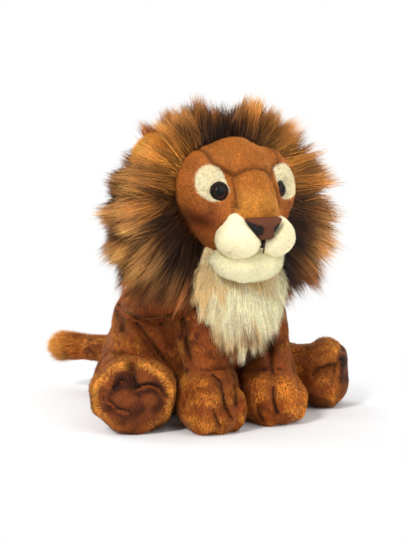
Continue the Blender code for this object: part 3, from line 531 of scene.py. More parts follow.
def staging():
    data = bpy.data.cameras.new("photo_camera")
    data.sensor_fit = "VERTICAL"
    data.sensor_width = data.sensor_height = SENSOR
    data.lens = LENS
    data.clip_start, data.clip_end = 0.05, 30
    right, back, p = Vector(RIGHT), Vector(BACK), math.radians(PITCH)
    spot = back * DISTANCE + right * CAMERA_SIDE + Vector((0, 0, CAMERA_HEIGHT))
    look = -back * math.cos(p) - Vector((0, 0, math.sin(p)))
    camera = placed("photo_camera", data)
    camera.matrix_world = (Matrix.Translation(spot)
                           @ Matrix((right, right.cross(look), -look)).transposed().to_4x4())
    bpy.context.scene.camera = camera
    bpy.context.scene.view_settings.view_transform = "Standard"

    sun("key", AZIMUTH - 30, 38, 1.75, 11)
    sun("fill", AZIMUTH + 45, 32, 1.0, 60)
    sun("rim", AZIMUTH - 130, 35, 1.0, 40)

    world = bpy.data.worlds.new("studio")
    bpy.context.scene.world = world
    world.use_nodes = True
    tree = world.node_tree
    soft = tree.nodes["Background"]
    feed(tree, soft, {"Color": WHITE, "Strength": 0.60})
    white = node(tree, "ShaderNodeBackground", {"Color": WHITE, "Strength": 1.0})[0]
    blend_to(tree, "World Output", seen_rays(tree), soft.outputs[0], white)

    # the floor is pale under the lion and fades into the white round it
    paint, tree, shader = new_material("floor_paint")
    tree.nodes.remove(shader)
    spot = node(tree, "ShaderNodeNewGeometry")["Position"]
    far = node(tree, "ShaderNodeVectorMath", {0: spot}, operation="LENGTH")["Value"]
    fade = node(tree, "ShaderNodeMapRange", {"Value": far, "From Min": 0.15, "From Max": 0.27},
                interpolation_type="SMOOTHSTEP")[0]
    pale = node(tree, "ShaderNodeBsdfDiffuse", {"Color": (0.93, 0.93, 0.93, 1)})[0]
    glow = node(tree, "ShaderNodeEmission", {"Color": WHITE, "Strength": 1.0})[0]
    share = node(tree, "ShaderNodeMath", {0: fade, 1: seen_rays(tree)}, operation="MULTIPLY")[0]
    blend_to(tree, "Material Output", share, pale, glow)
    corners = vec((-1, -1, 0), (1, -1, 0), (1, 1, 0), (-1, 1, 0)) * FLOOR_SIZE
    mesh_object("floor", corners, np.array([[0, 1, 2, 3]]), paint)


staging()


# Folds that the photograph shows, as lines in its pixels: points, depth, half width.
# A fold is pressed into what faces the camera there and, on the torso, into the other side as its
# mirror image.

TORSO_FOLDS = (
    (((119, 306), (125, 314), (136, 320), (147, 321.5), (158, 320.5), (170, 318), (181, 314)), 6.0, 2.8),
    (((121, 309), (122, 318), (124, 330)), 2.5, 2.6),
    (((181, 314), (184, 326), (186, 340), (189, 356), (192, 371)), 5.0, 2.6),
    (((133, 318), (141, 331), (151, 346), (162, 361), (173, 377), (180, 398)), 5.0, 2.8),
    (((160, 322), (166, 334), (169, 348)), 3.5, 3.0),
)
LEG_FOLDS = (
    (((181, 312), (184, 326), (186, 340), (189, 356), (192, 370)), 5.0, 2.4),
    (((119, 306), (136, 320), (158, 320.5), (181, 314)), 5.0, 2.8),
    (((188, 371), (198, 371), (208, 372), (220, 371), (236, 369)), 2.6, 2.8),
    (((213, 376), (220, 384), (223, 395), (225, 408), (230, 419)), 4.0, 1.9),
    (((234, 386), (236, 396), (235, 406)), 2.6, 1.5),
    (((213, 409), (216, 418), (219, 425)), 2.4, 1.5),
)
FAR_LEG_FOLDS = (
    (((269, 330), (270, 345), (271, 360), (273, 374)), 5.0, 2.6),
    (((250, 372), (262, 371), (276, 371), (290, 373)), 2.4, 2.8),
    (((273, 388), (274, 402), (277, 413)), 3.6, 1.7),
    (((257, 404), (259, 413), (262, 419)), 2.6, 1.6),
)
SOLE_FOLDS = (
    (((132, 364), (133, 377), (136, 389)), 3.6, 2.2),
    (((136, 389), (142, 386), (150, 384.5), (158, 388), (164, 397)), 3.2, 2.0),
    (((114, 389), (118, 384), (122, 381)), 3.6, 2.2),
    (((104, 391), (103, 400)), 2.6, 1.8),
    (((110, 401), (118, 409), (127, 412)), 2.0, 2.4),
)
FAR_FOOT_FOLDS = (
    (((314, 376), (319, 370), (327, 366.5), (335, 365), (341, 360)), 3.6, 2.2),
    (((335, 365), (334, 373)), 2.4, 1.8),
)
PICTURE_MIDDLE = (202, 270)
PICTURE_FOCUS = 1458
FOLD_GAIN = 1.25


def picture_place(p):
    """Where points land in the photograph, in its pixels."""
    c = math.radians(PITCH)
    far = DISTANCE * 1000 - p @ BACK
    rise = p[:, 2] - CAMERA_HEIGHT * 1000
    k = PICTURE_FOCUS / (far * math.cos(c) - rise * math.sin(c))
    return (PICTURE_MIDDLE[0] + (p @ RIGHT - CAMERA_SIDE * 1000) * k,
            PICTURE_MIDDLE[1] - (rise * math.cos(c) + far * math.sin(c)) * k)


def line_gap(a, b, line):
    """Distance from points (a, b) to a broken line."""
    best = np.full(len(a), 1e9)
    for (x0, z0), (x1, z1) in zip(line, line[1:]):
        dx, dz = x1 - x0, z1 - z0
        t = np.clip(((a - x0) * dx + (b - z0) * dz) / (dx * dx + dz * dz), 0, 1)
        best = np.minimum(best, np.hypot(a - x0 - t * dx, b - z0 - t * dz))
    return best


def fold_depth(p, n, folds, mirror, wide=1.1):
    """Depth of the folds at points with those normals."""
    total = np.zeros(len(p))
    for turn in (vec(1, 1, 1), vec(-1, 1, 1))[:2 if mirror else 1]:
        q = p * turn
        x, y = picture_place(q)
        seen = smooth(0.0, 0.35, (n * turn) @ BACK)
        if mirror:
            seen = seen * smooth(6, -6, q[:, 0])
        for line, depth, half in folds:
            fold = np.exp(-(line_gap(x, y, line) / half / wide) ** 2)
            total = np.maximum(total, seen * depth * FOLD_GAIN * fold)
    return total


def darker(tones, folds, mirror=False):
    """Tones with painted shade in and beside the folds."""
    def made(p, n, rng):
        # a wide soft painted shade beside the folds, and a deeper painted shade in them
        crease_shade_halo = np.clip(fold_depth(p, n, folds, mirror, 2.8) / 3.6, 0, 1)[:, None] * 0.50
        out = []
        for k, tone in enumerate(tones(p, n, rng)):
            # a strand's tip lies lower than its root
            deep = np.clip(fold_depth(p - vec(0, 0, 1.5 * k), n, folds, mirror) / 3.4, 0, 1)[:, None]
            out.append(tone * (1 - 0.94 * deep) * (1 - crease_shade_halo))
        return out
    return made


# Stuffed forms on the floor

STEP = 2.0
CLOTH_FLOOR = 0.25


def on_floor(form, p):
    """A form cut off just above the floor."""
    return np.maximum(form, 0.3 - p[:, 2])


def stuffed(field, low, high, lump, swell, seed, folds, mirror=False):
    """Skin of a stuffed form: a little lumpy, with its folds pressed in away from the camera."""
    points, quads = net(field, low, high, STEP)
    points = points + normals(points, quads) * (noise(points, lump, seed) * swell)[:, None]
    deep = fold_depth(points, normals(points, quads), folds, mirror)
    way = np.broadcast_to(-BACK, points.shape).copy()
    if mirror:
        way[:, 0] *= np.where(points[:, 0] > 0, -1, 1)
    points = points + way * deep[:, None]
    points[:, 2] = np.maximum(points[:, 2], CLOTH_FLOOR)
    return points, quads


def above_floor(p, n):
    return smooth(0.5, 3.0, p[:, 2]) * (n[:, 2] > -0.9)


def down(p, n):
    """Pile that lies downwards and a little outwards."""
    return np.stack([p[:, 0] * 0.004, p[:, 1] * 0.002, np.full(len(p), -1.0)], 1)


def each_tone(p, rng, spread):
    """One factor per strand, a little lighter or darker each."""
    return np.exp(rng.normal(0, spread, len(p)))[:, None]


def rust_tones(p, n, rng):
    """Rust pile in random golden and deep red-brown patches, with painted light where the pile faces up and on
    the paws' fronts near the floor, and painted shade where it faces down.
    """
    tuft = noise(p, 7, 4) * 0.25 + rng.normal(0, 0.14, len(p))
    # painted light on the paws' fronts near the floor; the normal's up part paints light on top and shade
    # underneath
    low = smooth(62, 30, p[:, 2]) * smooth(-84, -96, p[:, 1]) * 0.35
    warm = noise(p, 40, 5) * 0.5 + noise(p, 17, 8) * 0.35 + 0.35 * n[:, 2] + tuft + low
    dull_and_shaded = noise(p, 26, 6) * 0.7 + noise(p, 13, 7) * 0.3 - 0.3 * n[:, 2] - tuft - low
    base = mix(RUST, RUST_TIP, smooth(-0.08, 0.82, warm))
    base = mix(base, RUST_DARK, smooth(-0.2, 0.8, dull_and_shaded) * 0.92)
    k = each_tone(p, rng, 0.12)
    return base * 0.5, base * 0.85 * k, base * 1.15 * k


# Torso

def torso_field(p):
    body = join(16, ball(p, vec(0, -1, 56), vec(74, 71, 60)),
                ball(p, vec(0, -36, 108), vec(57, 46, 50)),
                ball(p, vec(0, -10, 88), vec(69, 62, 56)))
    for side in (-1, 1):
        body = join(14, body, ball(p, vec(side * 38, -62, 118), vec(29, 25, 27)),
                    ball(p, vec(side * 52, 0, 38), vec(34, 46, 37)))
        body = join(12, body, ball(p, vec(side * 47, -12, 92), vec(29, 34, 33)))
        body = join(5, body, ball(p, vec(side * 53, -33, 113), vec(29, 31, 21)))
    return on_floor(join(12, body, limb(p, (0, -42, 140), (0, -45, 158), 40, 36)), p)


def torso_tones(p, n, rng):
    """Rust pile with painted highlights on the haunches and under the shoulders."""
    x, y, z = np.abs(p[:, 0]), p[:, 1], p[:, 2]
    # painted highlights: on the outer haunches and in a band under the shoulder fold
    haunch_highlight = np.exp(-((z - 80) / 15) ** 2) * smooth(50, 62, x) * smooth(-60, -30, y) * smooth(40, 10, y)
    under = np.exp(-((z - 93) / 6) ** 2) * smooth(36, 46, x) * smooth(-28, -44, y)
    light = (np.maximum(haunch_highlight, under) * (0.55 + 0.5 * noise(p, 9, 93))).clip(0, 0.8)
    root, mid, tip = rust_tones(p, n, rng)
    return root, mix(mid * 1.06, RUST_TIP * 0.76, light), mix(tip * 1.1, RUST_TIP, light)


torso = stuffed(torso_field, (-96, -100, -4), (96, 80, 186), 34, 1.2, 11, TORSO_FOLDS, mirror=True)
skin_object("torso_plush", torso, RUST * 0.5, "torso", "rust_plush", 0.7,
            "torso_cover", "torso_stuffing", "seat_pellet_bag")
for name, front, seed in (("torso_front_pile", True, 101), ("torso_back_pile", False, 102)):
    coat(name, torso, 52000, 4.4, down, darker(torso_tones, TORSO_FOLDS, mirror=True), "torso", "rust_plush",
         seed, 0.76, width=0.5, weight=lambda p, n, front=front: above_floor(p, n) * ((p[:, 1] < -8) == front))

neck = net(lambda p: ball(p, vec(0, -45, 160), vec(34, 34, 34)), (-40, -85, 120), (40, -5, 200), 3.0)
skin_object("neck_plush", neck, RUST_DARK, "neck", "rust_plush", 0.8, "neck_stuffing")


# Front legs

# how far each side's paw, shin and the leg's top stand from the middle
PAW = {1: 34.5, -1: 38.0}
SHIN = {1: 40.0, -1: 29.5}
LEG_TOP = {1: 41.0, -1: 28.0}


def leg_tones(p, n, rng):
    """Rust pile with painted shade on the inner front of the legs above the paws, and painted light low on the
    leg at the lion's left.
    """
    light = 1 - 0.5 * smooth(46, 58, p[:, 2]) * smooth(-60, -84, p[:, 1]) * smooth(46, 34, np.abs(p[:, 0]))
    light = light * (1 + 0.16 * smooth(0, 10, p[:, 0]) * smooth(60, 40, p[:, 2]))
    return [tone * light[:, None] for tone in rust_tones(p, n, rng)]


def front_leg(side, word):
    def field(p):
        leg = join(10, limb(p, (side * LEG_TOP[side], -72, 95), (side * SHIN[side], -92, 48), 25.5, 21),
                   ball(p, vec(side * PAW[side], -101, 21), vec(28, 33, 24.5)),
                   ball(p, vec(side * (PAW[side] - 2), -98, 33), vec(25, 27, 27)))
        toes = [ball(p, vec(side * (PAW[side] + spread), ahead, 21), vec(10.5, 20, 21))
                for spread, ahead in ((-15, -112), (1, -115), (16, -110))]
        return on_floor(join(3.0, leg, *toes), p)

    body = f"{word}_front_leg"
    folds = FAR_LEG_FOLDS if side > 0 else LEG_FOLDS
    leg = stuffed(field, (side * 34 - 42, -145, -4), (side * 34 + 42, -35, 132), 22, 0.7, 21, folds)
    skin_object(f"{body}_plush", leg, RUST * 0.5, body, "rust_plush", 0.8, f"{body}_cover", f"{body}_stuffing")
    coat(f"{body}_pile", leg, 44000, 4.0, down, darker(leg_tones, folds), body, "rust_plush", 111 + side, 0.76,
         weight=above_floor)


for side, word in SIDES:
    front_leg(side, word)


# Hind legs

HIP = vec(60, -5, 0)
HIP_HEIGHT = 35.5
SPLAY = {1: math.radians(46), -1: math.radians(31.5)}
REACH = {1: 111.0, -1: 93.0}
TALL = {1: 32.5, -1: 34.5}
SOLE_HEIGHT, SOLE_HALF_WIDTH, SOLE_HALF_HEIGHT = 36, 40, 35


def hind_leg(side, word):
    reach, tall = REACH[side], TALL[side]
    along = vec(side * math.sin(SPLAY[side]), -math.cos(SPLAY[side]), 0)
    across = vec(math.cos(SPLAY[side]), side * math.sin(SPLAY[side]), 0)

    def local(p):
        """Across the leg, along it from the hip, and up."""
        q = p - HIP * vec(side, 1, 1)
        return q @ across, q @ along, q[:, 2]

    def field(p):
        u, t, z = local(p)
        q = np.stack([u, t, z], 1)
        leg = join(12, ball(q, vec(0, 0, HIP_HEIGHT), vec(33, 34, 33)),
                   limb(q, (0, 10, 34), (0, reach - 27, tall - 1), 30, tall - 4),
                   ball(q, vec(0, reach - 18, tall + 0.5), vec(39, 22, tall)))
        bulge = 3.5 * (1 - (u / 38) ** 2 - ((z - SOLE_HEIGHT) / 35) ** 2)
        return on_floor(carve(7, leg, reach + bulge - t), p)

    def sole_place(p):
        """Sideways and up from the sole's middle, along the leg, and share of the way to the sole's rim."""
        u, t, z = local(p)
        w = z - SOLE_HEIGHT
        return u, w, t, np.hypot(u / SOLE_HALF_WIDTH, w / SOLE_HALF_HEIGHT)

    def not_sole(p, n):
        u, w, t, out = sole_place(p)
        return above_floor(p, n) * (1 - smooth(reach - 6, reach - 2, t) * (1 - smooth(0.62, 0.80, out)))

    def on_sole(p, n):
        u, w, t, out = sole_place(p)
        return smooth(reach - 6, reach - 2, t) * (1 - smooth(0.66, 0.84, out)) * (p[:, 2] > 1)

    def outwards(p, n):
        """Backwards along the leg, and away from the middle round the sole."""
        u, w, t, out = sole_place(p)
        ring = np.outer(u, across) + np.outer(w, vec(0, 0, 1))
        return mix(along * 0.6 + vec(0, 0, -0.8), unit(ring), smooth(reach - 12, reach - 4, t))

    def lit_gold_rim(p, n, rng):
        """Rust pile with a golden painted highlight round the sole, brighter higher up: on the far foot only on
        top.
        """
        u, w, t, out = sole_place(p)
        root, mid, tip = rust_tones(p, n, rng)
        # painted highlight round the sole, strongest towards the top
        rim = smooth(reach - 40, reach - 8, t) * smooth(-34, 4, w + np.abs(u) * 0.25)
        rim = (rim * (0.75 + 0.35 * noise(p, 12, 91))).clip(0, 1) * 0.9
        if side > 0:
            rim = rim * (0.25 + 0.75 * smooth(8, 24, w))
        return root, mix(mid, GOLD * 1.2, rim), mix(tip, srgb(250, 178, 76), rim)

    def sole_tones(p, n, rng):
        k = each_tone(p, rng, 0.10)
        ring = smooth(0.45, 0.85, sole_place(p)[3]) * 0.9
        base = mix(SOLE, SOLE_TIP, smooth(-0.5, 0.7, noise(p, 20, 77) + ring))
        return base * 0.6, base * 0.9 * k, base * 1.1 * k

    body = f"{word}_hind_leg"
    folds = FAR_FOOT_FOLDS if side > 0 else SOLE_FOLDS
    leg = stuffed(field, (side * 86 - 70, -118, -4), (side * 86 + 74, 44, 86), 22, 1.2, 31, folds)
    skin_object(f"{body}_plush", leg, RUST * 0.5, body, "rust_plush", 0.8,
                f"{body}_cover", f"{body}_stuffing", f"{word}_sole_pad")
    coat(f"{body}_pile", leg, 46000, 4.2, outwards, darker(lit_gold_rim, folds), body, "rust_plush", 121 + side, 0.74,
         weight=not_sole)
    coat(f"{word}_sole_pile", leg, 14000, 3.4, down, darker(sole_tones, folds), body, "sole_plush", 131 + side,
         0.7, weight=on_sole)


for side, word in SIDES:
    hind_leg(side, word)


# Tail

TAIL_ROOT = vec(0, 66, 47)
TAIL_WAY = vec(-math.sin(math.radians(25)), math.cos(math.radians(25)), 0)


def tail_field(p):
    return join(6, limb(p, TAIL_ROOT, TAIL_ROOT + TAIL_WAY * 80, 14.5, 12.5),
                ball(p, TAIL_ROOT + TAIL_WAY * 92, vec(15, 18, 13)))


def tail_end(p):
    """1 on the tuft at the tail's end."""
    return smooth(80, 100, (p - TAIL_ROOT) @ TAIL_WAY)


def tail_tones(p, n, rng):
    root, mid, tip = rust_tones(p, n, rng)
    warm = (0.4 + 0.3 * noise(p, 9, 92)).clip(0, 1)
    end = tail_end(p)
    return (mix(root, GOLD_DARK, end * 0.5), mix(mix(mid, RUST_TIP * 0.8, warm), GOLD, end),
            mix(mix(tip, RUST_TIP, warm), srgb(228, 168, 90), end))


tail = net(tail_field, (-80, 40, 20), (30, 190, 72), 2.0)
skin_object("tail_plush", tail, RUST_DARK, "tail", "rust_plush", 0.8,
            "tail_cover", "tail_stuffing", "tail_tuft")
coat("tail_pile", tail, 16000, lambda p, n: 4.6 + 9 * tail_end(p),
     lambda p, n: np.broadcast_to(TAIL_WAY + vec(0, 0, -0.15), p.shape), tail_tones, "tail", "rust_plush", 141,
     0.65, width=0.55)


# Head

# the points of the skin nearest to these are the eyes' middles: x, z
EYES = {1: (34.8, 218), -1: (-35.5, 218)}

# folds of the face as lines of (distance from the middle, height), with their depth and half width
FACE_FOLDS = (
    (((0, 238.5), (11, 236.5), (20, 231), (22, 217), (23, 203)), 1.7, 1.9),
    (((19, 231), (28, 238), (36.5, 243), (39, 256)), 1.5, 2.6),
    (((42, 205), (46, 196), (43, 186)), 0.9, 3.2),
)


def face_fold(p):
    """Depth of the face's sewn folds at each point."""
    x, z = np.abs(p[:, 0]), p[:, 2]
    total = np.zeros(len(p))
    for line, depth, half in FACE_FOLDS:
        total = np.maximum(total, depth * np.exp(-(line_gap(x, z, line) / half) ** 2))
    return total * (p[:, 1] < -72)


def brow_shape(p):
    """1 on the forehead above the bridge and the patches."""
    x, z = np.abs(p[:, 0]), p[:, 2]
    edge = np.interp(x, [0, 11, 20, 28, 36.5, 39.5, 44], [238.5, 236.5, 231, 238, 243, 256, 275])
    return smooth(-0.8, 2.5, z - edge) * smooth(-78, -88, p[:, 1])


def head_field(p):
    q = mirrored(p)
    head = join(12, ball(q, vec(0, -62, 208), vec(54, 50, 58)),
                ball(q, vec(37, -88, 208), vec(27.5, 27.5, 47)),
                ball(q, vec(0, -86, 233), vec(33, 29, 30)))
    head = join(8, head, ball(q, vec(0, -99, 198), vec(40, 31, 22)))
    head = join(6, head, ball(q, vec(24, -100, 212), vec(13, 20, 19)))
    head = join(8, head, ball(q, vec(33, -92, 191), vec(22, 24, 24)))
    head = join(6, head, limb(q, (2, -101.5, 226), (1.5, -111.5, 202), 22.5, 25))
    slant = (q[:, 0] - 51 - 0.73 * (q[:, 2] - 198)) / 1.24
    head = common(12, head, slant)
    # sockets under both eyes; the far one is widened towards the bridge
    head = carve(4, head, ball(q, vec(43, -121, 219), vec(13, 10.5, 12.5)))
    return carve(4, head, ball(p, vec(39, -121, 219), vec(11, 12.5, 11.5)))


head = net(head_field, (-76, -150, 136), (76, 4, 278), 1.5)
swell = noise(head[0], 30, 41) * 0.5 + brow_shape(head[0]) * 1.6 - face_fold(head[0]) * 1.5
head = (head[0] + normals(*head) * swell[:, None], head[1])
PATCH = nearest_place(head, 41.0, 225.5)


def patch_shape(p):
    """1 inside the cream patches round the eyes, 0 outside."""
    q = mirrored(p)
    far = np.linalg.norm((q - PATCH) / vec(1.0, 1.4, 1.02), axis=1)
    inner = smooth(26.4, 27.8, q[:, 0] - (q[:, 2] - 218) * 0.10)
    return (1 - smooth(15.6, 16.8, far)) * inner * (p[:, 1] < -60) * (1 - smooth(0.2, 0.5, brow_shape(p)))


def bridge_shape(p):
    """1 on the bridge of the nose."""
    x, z = np.abs(p[:, 0]), p[:, 2]
    wide = np.interp(z, [186, 198, 206, 215, 230, 239], [27, 26, 23, 20, 19, 6])
    return smooth(1.5, -1.5, x - wide) * smooth(240, 236, z) * (p[:, 1] < -90)


def face_colour(p):
    """Colours of the face pile where it lies."""
    x, z = np.abs(p[:, 0]), p[:, 2]
    mottle = noise(p, 20, 61)[:, None]
    tone = mix(srgb(190, 108, 42), srgb(148, 68, 28), smooth(214, 192, z) * smooth(26, 44, x))
    tone = tone * (1 + 0.14 * mottle)
    tone = mix(tone, srgb(196, 114, 44) * (1 + 0.12 * mottle), brow_shape(p) * 0.9)
    bridge = mix(srgb(194, 114, 42), srgb(222, 144, 56), smooth(228, 204, z))
    tone = mix(tone, bridge, bridge_shape(p))
    # painted shade in the sewn folds
    tone = tone * (1 - 0.52 * np.clip(face_fold(p) / 1.5, 0, 1)[:, None])
    return mix(tone, CREAM * vec(0.90, 0.86, 0.80), patch_shape(p))


def face_tones(p, n, rng):
    cream = patch_shape(p)[:, None]
    k = each_tone(p, rng, 0.22) * (1 - cream) + cream
    tone = face_colour(p)
    return tone * (0.5 + 0.4 * cream), tone * (0.84 + 0.1 * cream) * k, tone * (1.16 - 0.12 * cream) * k


def face_comb(p, n):
    """Away from the nose, and up on its bridge."""
    return mix(unit(p - vec(0, -132, 200)), vec(0, 0.3, 1.0), bridge_shape(p))


skin_object("head_plush", head, face_colour(head[0]) * 0.75, "head", "rust_plush", 0.85,
            "head_cover", "head_stuffing", "forehead_panel", "left_eye_patch", "right_eye_patch",
            "left_eye_washer", "right_eye_washer")
coat("head_pile", head, 60000, lambda p, n: 3.2 + 4 * smooth(-84, -70, p[:, 1]), face_comb, face_tones,
     "head", "rust_plush", 151, 0.70, width=0.42,
     weight=lambda p, n: smooth(-40, -60, p[:, 1]) * (patch_shape(p) < 0.5))
coat("eye_patch_pile", head, 9000, 2.4, face_comb, face_tones, "head", "cream_plush", 152, 0.72, width=0.42,
     weight=lambda p, n: patch_shape(p) > 0.4)


# Eyes

EYE_RADIUS, EYE_RISE, EYE_SINK = 7.5, 6.2, 0.2
RIM_AROUND = 72

gloss, tree, shader = new_material("eye_gloss")
feed(tree, shader, {"Base Color": own_colour(tree), "Roughness": 0.05, "Specular IOR Level": 0.14})


def eye(side, word):
    centre = nearest_place(head, *EYES[side])
    axis = unit(vec(side * 0.40, -0.90, 0.04))
    right, up = seen_frame(axis)

    def spot(r, h, t):
        return centre + axis * h + right * r * math.cos(t) + up * r * math.sin(t)

    # black dome with a dark brown ring, warmer below
    rings, colours = [], []
    for a in (math.pi / 2 * i / 18 for i in range(19)):
        r, h = EYE_RADIUS * math.sin(a), EYE_RISE * math.cos(a)
        iris = smooth(3.6, 4.2, r) * (1 - smooth(5.6, 6.2, r))
        turns = [2 * math.pi * j / 40 for j in range(40)]
        rings.append([spot(r, h - EYE_SINK, t) for t in turns])
        for t in turns:
            warm = 0.35 + 0.65 * max(0.0, -math.sin(t)) * max(0.0, 0.6 + side * math.cos(t))
            colours.append(srgb(10, 8, 8) * (1 - iris * warm) + srgb(60, 32, 18) * iris * warm)
    dome = mesh_object(f"{word}_eye_dome", *turned(*ring_skin(rings), axis), gloss, np.array(colours))
    carry(dome, "head", "eye_plastic", f"{word}_eye")

    # dark felt rim round the eye, drawn out to a point at its outer corner
    edge = []
    for t in (2 * math.pi * j / RIM_AROUND for j in range(RIM_AROUND)):
        reach = 8.6 + 2.2 * max(0.0, -side * math.cos(t)) ** 6 + 0.7 * max(math.sin(t), 0) ** 2
        edge.append([spot(r, h, t) for r, h in ((6.6, 2.4), (reach, 2.0), (reach + 0.2, -1.6))])
    skin = turned(*ring_skin(np.swapaxes(edge, 0, 1)), axis)
    carry(mesh_object(f"{word}_eye_rim", *skin, PILES["sole_plush"], srgb(26, 16, 13)), "head", "eye_plastic")


for side, word in SIDES:
    eye(side, word)


# Muzzle and chin

NOSE_SPOT = vec(0, -133.5, 185)
PAD_TOP = {1: 187.0, -1: 192.5}
# sewn dots of the whiskers: distance from the middle, height
WHISKERS = ((24, 168), (30, 171), (27, 162), (34, 165), (22, 174))


def nose_half(z):
    """Half width of the nose at a height from its middle."""
    return np.interp(z, [-13, -11, -6, 0, 5, 8.5, 10.5], [0.8, 4.5, 11.0, 17.0, 21.0, 22.0, 19.5])


def cream_tones(p, n, rng):
    k = each_tone(p, rng, 0.04)
    return CREAM * 0.85, CREAM * 0.95 * k, CREAM * 0.99 * k


def chin_tones(p, n, rng):
    """One paler cream, because the chin lies in the muzzle's shadow."""
    return [cream_tones(p, n, rng)[1] * vec(1.05, 1.08, 1.12)] * 3


def pad(name, field, low, high, replaced, count, length, comb, seed, tones, lay=0.72):
    skin = net(field, low, high, 1.4 * (1))
    skin_object(f"{name}_plush", skin, CREAM * 0.9, "head", "cream_plush", 0.85, replaced)
    coat(f"{name}_pile", skin, count, length, comb, tones, "head", "cream_plush", seed, lay,
         width=0.42, wander=0.2)


def muzzle(side, word):
    def field(p):
        form = join(6, ball(p, vec(side * 21, -120, 176), vec(20, 19, 18.5)),
                    ball(p, vec(side * 12, -122.5, 174), vec(12.2, 12.5, 14)),
                    limb(p, (side * 20, -121, 182), (side * 23.5, -121, PAD_TOP[side]), 11.5, 7.5))
        q = p - NOSE_SPOT
        room = common(3, (np.abs(q[:, 0]) - nose_half(q[:, 2]) - 0.5) * 0.75, q[:, 2] - 11, q[:, 1] - 3)
        return carve(2.0, form, room)

    def tones(p, n, rng):
        near = np.min([np.hypot(p[:, 0] - side * x, p[:, 2] - z) for x, z in WHISKERS], axis=0)
        dark = ((1 - smooth(0.7, 1.5, near)) * (p[:, 1] < -120)) * 0.5
        return [mix(tone, srgb(168, 120, 84), dark) for tone in cream_tones(p, n, rng)]

    pad(f"{word}_muzzle", field, (side * 21.5 - 27, -146, 150), (side * 21.5 + 27, -92, 206),
        f"{word}_muzzle_pad", 16000, 2.4, lambda p, n: p - vec(side * 3, -126, 188), 161 + side, tones)


for side, word in SIDES:
    muzzle(side, word)


def chin_field(p):
    return join(8, ball(p, vec(0, -110, 151), vec(34, 20, 15)), ball(p, vec(0, -106, 158), vec(38, 17, 10)))


pad("chin", chin_field, (-46, -138, 130), (46, -82, 176), "chin_pad", 18000, 5.0,
    lambda p, n: np.broadcast_to(vec(0, 0, -1.0), p.shape), 171, chin_tones, lay=0.66)


# Nose

flock, tree, shader = new_material("nose_flock")
speck = grain(tree, 1500.0, 2.0, 0.5)
hill = node(tree, "ShaderNodeBump", {"Height": speck, "Strength": 0.5, "Distance": 0.0003})[0]
feed(tree, shader, {"Base Color": own_colour(tree, spread_out(tree, speck, 0.3, 0.75, 1.25)), "Normal": hill,
                    "Roughness": 0.85, "Sheen Weight": 0.04, "Sheen Tint": (1.0, 0.6, 0.35, 1)})


def nose_field(p):
    q = p - NOSE_SPOT
    x, y, z = np.abs(q[:, 0]), q[:, 1], q[:, 2]
    side = (x - nose_half(z)) * 0.75
    top = z - 9.5 - 1.2 * np.cos(x / 20 * math.pi / 2)
    front = y + 8.0 - 0.011 * x * x - 0.018 * np.minimum(z - 3, 0) ** 2 - 0.05 * np.maximum(z - 3, 0) ** 2
    return common(4.5, side, top, -front, y - 10)


nose = net(nose_field, (-27, -148, 166), (27, -114, 202), 0.9)
q = nose[0] - NOSE_SPOT
x, z = np.abs(q[:, 0]), q[:, 2]
# nostrils are a slit that widens into a dent, and the nose's lowest point is as dark
slit = line_gap(x, z, ((21.0, 6.5), (17.0, 2.5), (13.0, -0.8))) - np.interp(x, [13, 21], [3.2, 1.6])
hole = np.maximum(1 - smooth(-0.4, 1.0, slit), 1 - smooth(5.0, 6.0, np.hypot(x - 10.8, z + 2.2)))
hole = np.maximum(hole, 1 - smooth(-11.5, -9.5, z)) * (q[:, 1] < 4)
# the nose's brown gets lighter towards its top as a painted highlight
colours = mix(srgb(88, 42, 13) * (1 + smooth(1, 9, z)[:, None] * 0.25), srgb(8, 6, 6), hole)
made = mesh_object("nose_flocked", nose[0] - normals(*nose) * (2.4 * hole)[:, None], nose[1], flock, colours)
carry(made, "head", "nose_flock", "nose")

# the seam under the nose, as a thin thread
places = np.array([(0, -134.0 + 0.3 * k, 174 - k * 1.4) for k in range(9)])
way = unit(np.gradient(places, axis=0))
across = unit(np.cross(way, vec(0, -1, 0.01)))
over = np.cross(across, way)
tube = [places + (across * math.cos(t) + over * math.sin(t)) * 0.8 for t in np.linspace(0, 2 * math.pi, 7)[:-1]]
made = mesh_object("philtrum_seam", *ring_skin(np.stack(tube, 1)), PILES["sole_plush"], srgb(60, 34, 24))
carry(made, "head", "nose_flock")


# Ears

EAR_SPOT = vec(69, -67, 247)


def ear_tones(p, n, rng):
    k = each_tone(p, rng, 0.12)
    return GOLD_DARK * k, GOLD * 1.05 * k, srgb(250, 188, 86) * k


def ear(side, word):
    middle = EAR_SPOT * vec(side, 1, 1)
    facing = unit(vec(side * 0.35, -0.9, 0.1))
    across, up = seen_frame(facing)

    def field(p):
        q = p - middle
        q = np.stack([q @ across, q @ facing, q @ up], 1)
        return carve(4, ball(q, vec(0, 0, 0), vec(17, 8, 18)), ball(q, vec(0, 13, 0), vec(12, 9, 12)))

    skin = net(field, middle - 26, middle + 26, 2.0)
    skin_object(f"{word}_ear_plush", skin, GOLD_DARK, "head", "golden_plush", 0.5, f"{word}_ear")
    coat(f"{word}_ear_pile", skin, 12000, 11.0, lambda p, n: unit(p - middle) + vec(side * 0.6, 0.1, 0.2),
         ear_tones, "head", "golden_plush", 181 + side, 0.62, width=0.55)


for side, word in SIDES:
    ear(side, word)


# Mane

MANE_CENTRE = vec(0, -58, 206)
MANE_LOWEST = 133
# directions of the tufts that the mane's hair is drawn into; 0 is to the lion's left, 90 is up
TUFTS = np.radians(vec(-88, -72, -52, -34, -18, -3, 12, 27, 41, 56, 70, 88, 108, 124, 139, 153, 168, 183, 198,
                       214, 232, 252))


